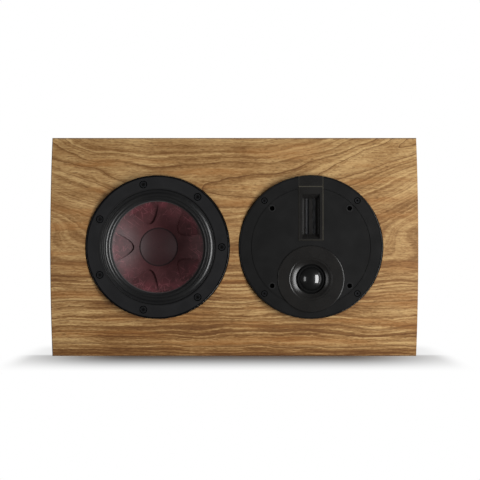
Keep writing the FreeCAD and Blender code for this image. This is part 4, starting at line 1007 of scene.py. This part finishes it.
# Corrugated cloth that centres the coil
clothSet = {"waves": 4, "height": 1.3 * mm, "thickness": 0.5 * mm, "rim": 4.5 * mm, "neck": 16.35 * mm,
            "pointsPerWave": 10, "turnSteps": 120}


def spiderDisc():
    low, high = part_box("woofer_spider")
    centre = ((low.x + high.x) / 2, (low.z + high.z) / 2)
    outer = (high.x - low.x) / 2
    rim = outer - clothSet["rim"]
    neck = clothSet["neck"]
    back = (low.y + high.y) / 2 + clothSet["thickness"] / 2
    count = clothSet["waves"] * clothSet["pointsPerWave"]
    face = [(outer, back)]
    for number in range(count + 1):
        share = number / count
        swing = clothSet["height"] * math.sin(2 * math.pi * clothSet["waves"] * share)
        face.append((rim + (neck - rim) * share, back + swing))
    loop = face + [(radius, depth - clothSet["thickness"]) for radius, depth in reversed(face)]
    piece = newPiece("spiderDisc", turnedShell(loop, centre, clothSet["turnSteps"]), "spider_cloth")
    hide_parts("woofer_spider")
    flexing(piece, centre, rim, neck)


# Ribbon's film, folded in fine pleats between flat ends
pleatSet = {"pitch": 1.1 * mm, "pointsPerPleat": 4, "depth": 0.9 * mm, "thickness": 0.05 * mm,
            "margin": 1.4 * mm, "setback": 0.1 * mm, "columns": 6}


def pleatedFilm():
    low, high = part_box("ribbon_film")
    bm = bmesh.new()
    perPleat = pleatSet["pointsPerPleat"]
    count = int((high.z - low.z) / pleatSet["pitch"] * perPleat)
    margin = pleatSet["margin"]
    columns = pleatSet["columns"]
    rows = []
    for number in range(count + 1):
        z = low.z + (high.z - low.z) * number / count
        held = min(1.0, (z - low.z) / margin, (high.z - z) / margin)
        fold = (0.5 - 0.5 * math.cos(2 * math.pi * number / perPleat)) * pleatSet["depth"] * held
        row = []
        for column in range(columns + 1):
            x = low.x + margin + (high.x - low.x - 2 * margin) * column / columns
            row.append(bm.verts.new((x, low.y + pleatSet["setback"] + fold, z)))
        rows.append(row)
    joinRows(bm, rows)
    bmesh.ops.solidify(bm, geom=bm.faces[:], thickness=pleatSet["thickness"])
    piece = newPiece("pleatedFilm", bm, "film", smooth=False)
    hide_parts("ribbon_film")
    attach(piece, "cabinet")


# Lumpy wadding, thin at its edges
wadSet = {"columns": 22, "rows": 28, "sink": 2.0 * mm, "crown": 0.34, "thinnest": 0.25, "roundness": 6,
          "waist": 0.03, "lumps": 1.2 * mm, "lumpWaves": ((7, 2), (-3, 6)), "backing": 0.2 * mm}


def wadPoint(low, high, column, row, inFront):
    # across and up go from -1 to 1, and the sides pull in between the corners
    across = 2 * column / wadSet["columns"] - 1
    up = 2 * row / wadSet["rows"] - 1
    pull = 1 - wadSet["waist"] * (1 - abs(across * up))
    x = (low.x + high.x) / 2 + across * (high.x - low.x) / 2 * (pull if abs(across) == 1 else 1)
    z = (low.z + high.z) / 2 + up * (high.z - low.z) / 2 * (pull if abs(up) == 1 else 1)
    back = high.y - wadSet["backing"]
    if not inFront:
        return x, back, z
    fill = (1 - across ** wadSet["roundness"]) * (1 - up ** wadSet["roundness"])
    lump = wadSet["lumps"] * fill
    for acrossWaves, upWaves in wadSet["lumpWaves"]:
        lump *= math.sin(acrossWaves * across + upWaves * up)
    puff = 1 - wadSet["crown"] + wadSet["crown"] * fill
    thick = (high.y - low.y) * puff * (wadSet["thinnest"] + (1 - wadSet["thinnest"]) * fill)
    return x, min(max(high.y - thick + wadSet["sink"] - lump, low.y), back), z


def waddingPad():
    low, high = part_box("damping_felt")
    columns, rows = wadSet["columns"], wadSet["rows"]
    bm = bmesh.new()
    grids = []
    for inFront in (False, True):
        grid = []
        for row in range(rows + 1):
            points = [wadPoint(low, high, column, row, inFront) for column in range(columns + 1)]
            grid.append([bm.verts.new(point) for point in points])
        joinRows(bm, grid)
        grids.append(grid)
    border = [(0, column) for column in range(columns)]
    border += [(row, columns) for row in range(rows)]
    border += [(rows, column) for column in range(columns, 0, -1)]
    border += [(row, 0) for row in range(rows, 0, -1)]
    rims = [[grid[row][column] for row, column in border + border[:1]] for grid in grids]
    joinRows(bm, rims)
    piece = newPiece("waddingPad", bm, "felt")
    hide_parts("damping_felt")
    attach(piece, "cabinet")


rubberRoll()
spiderDisc()
pleatedFilm()
waddingPad()
print("rubber roll, spider, film and wadding built")

bpy.context.scene.view_settings.view_transform = "Standard"
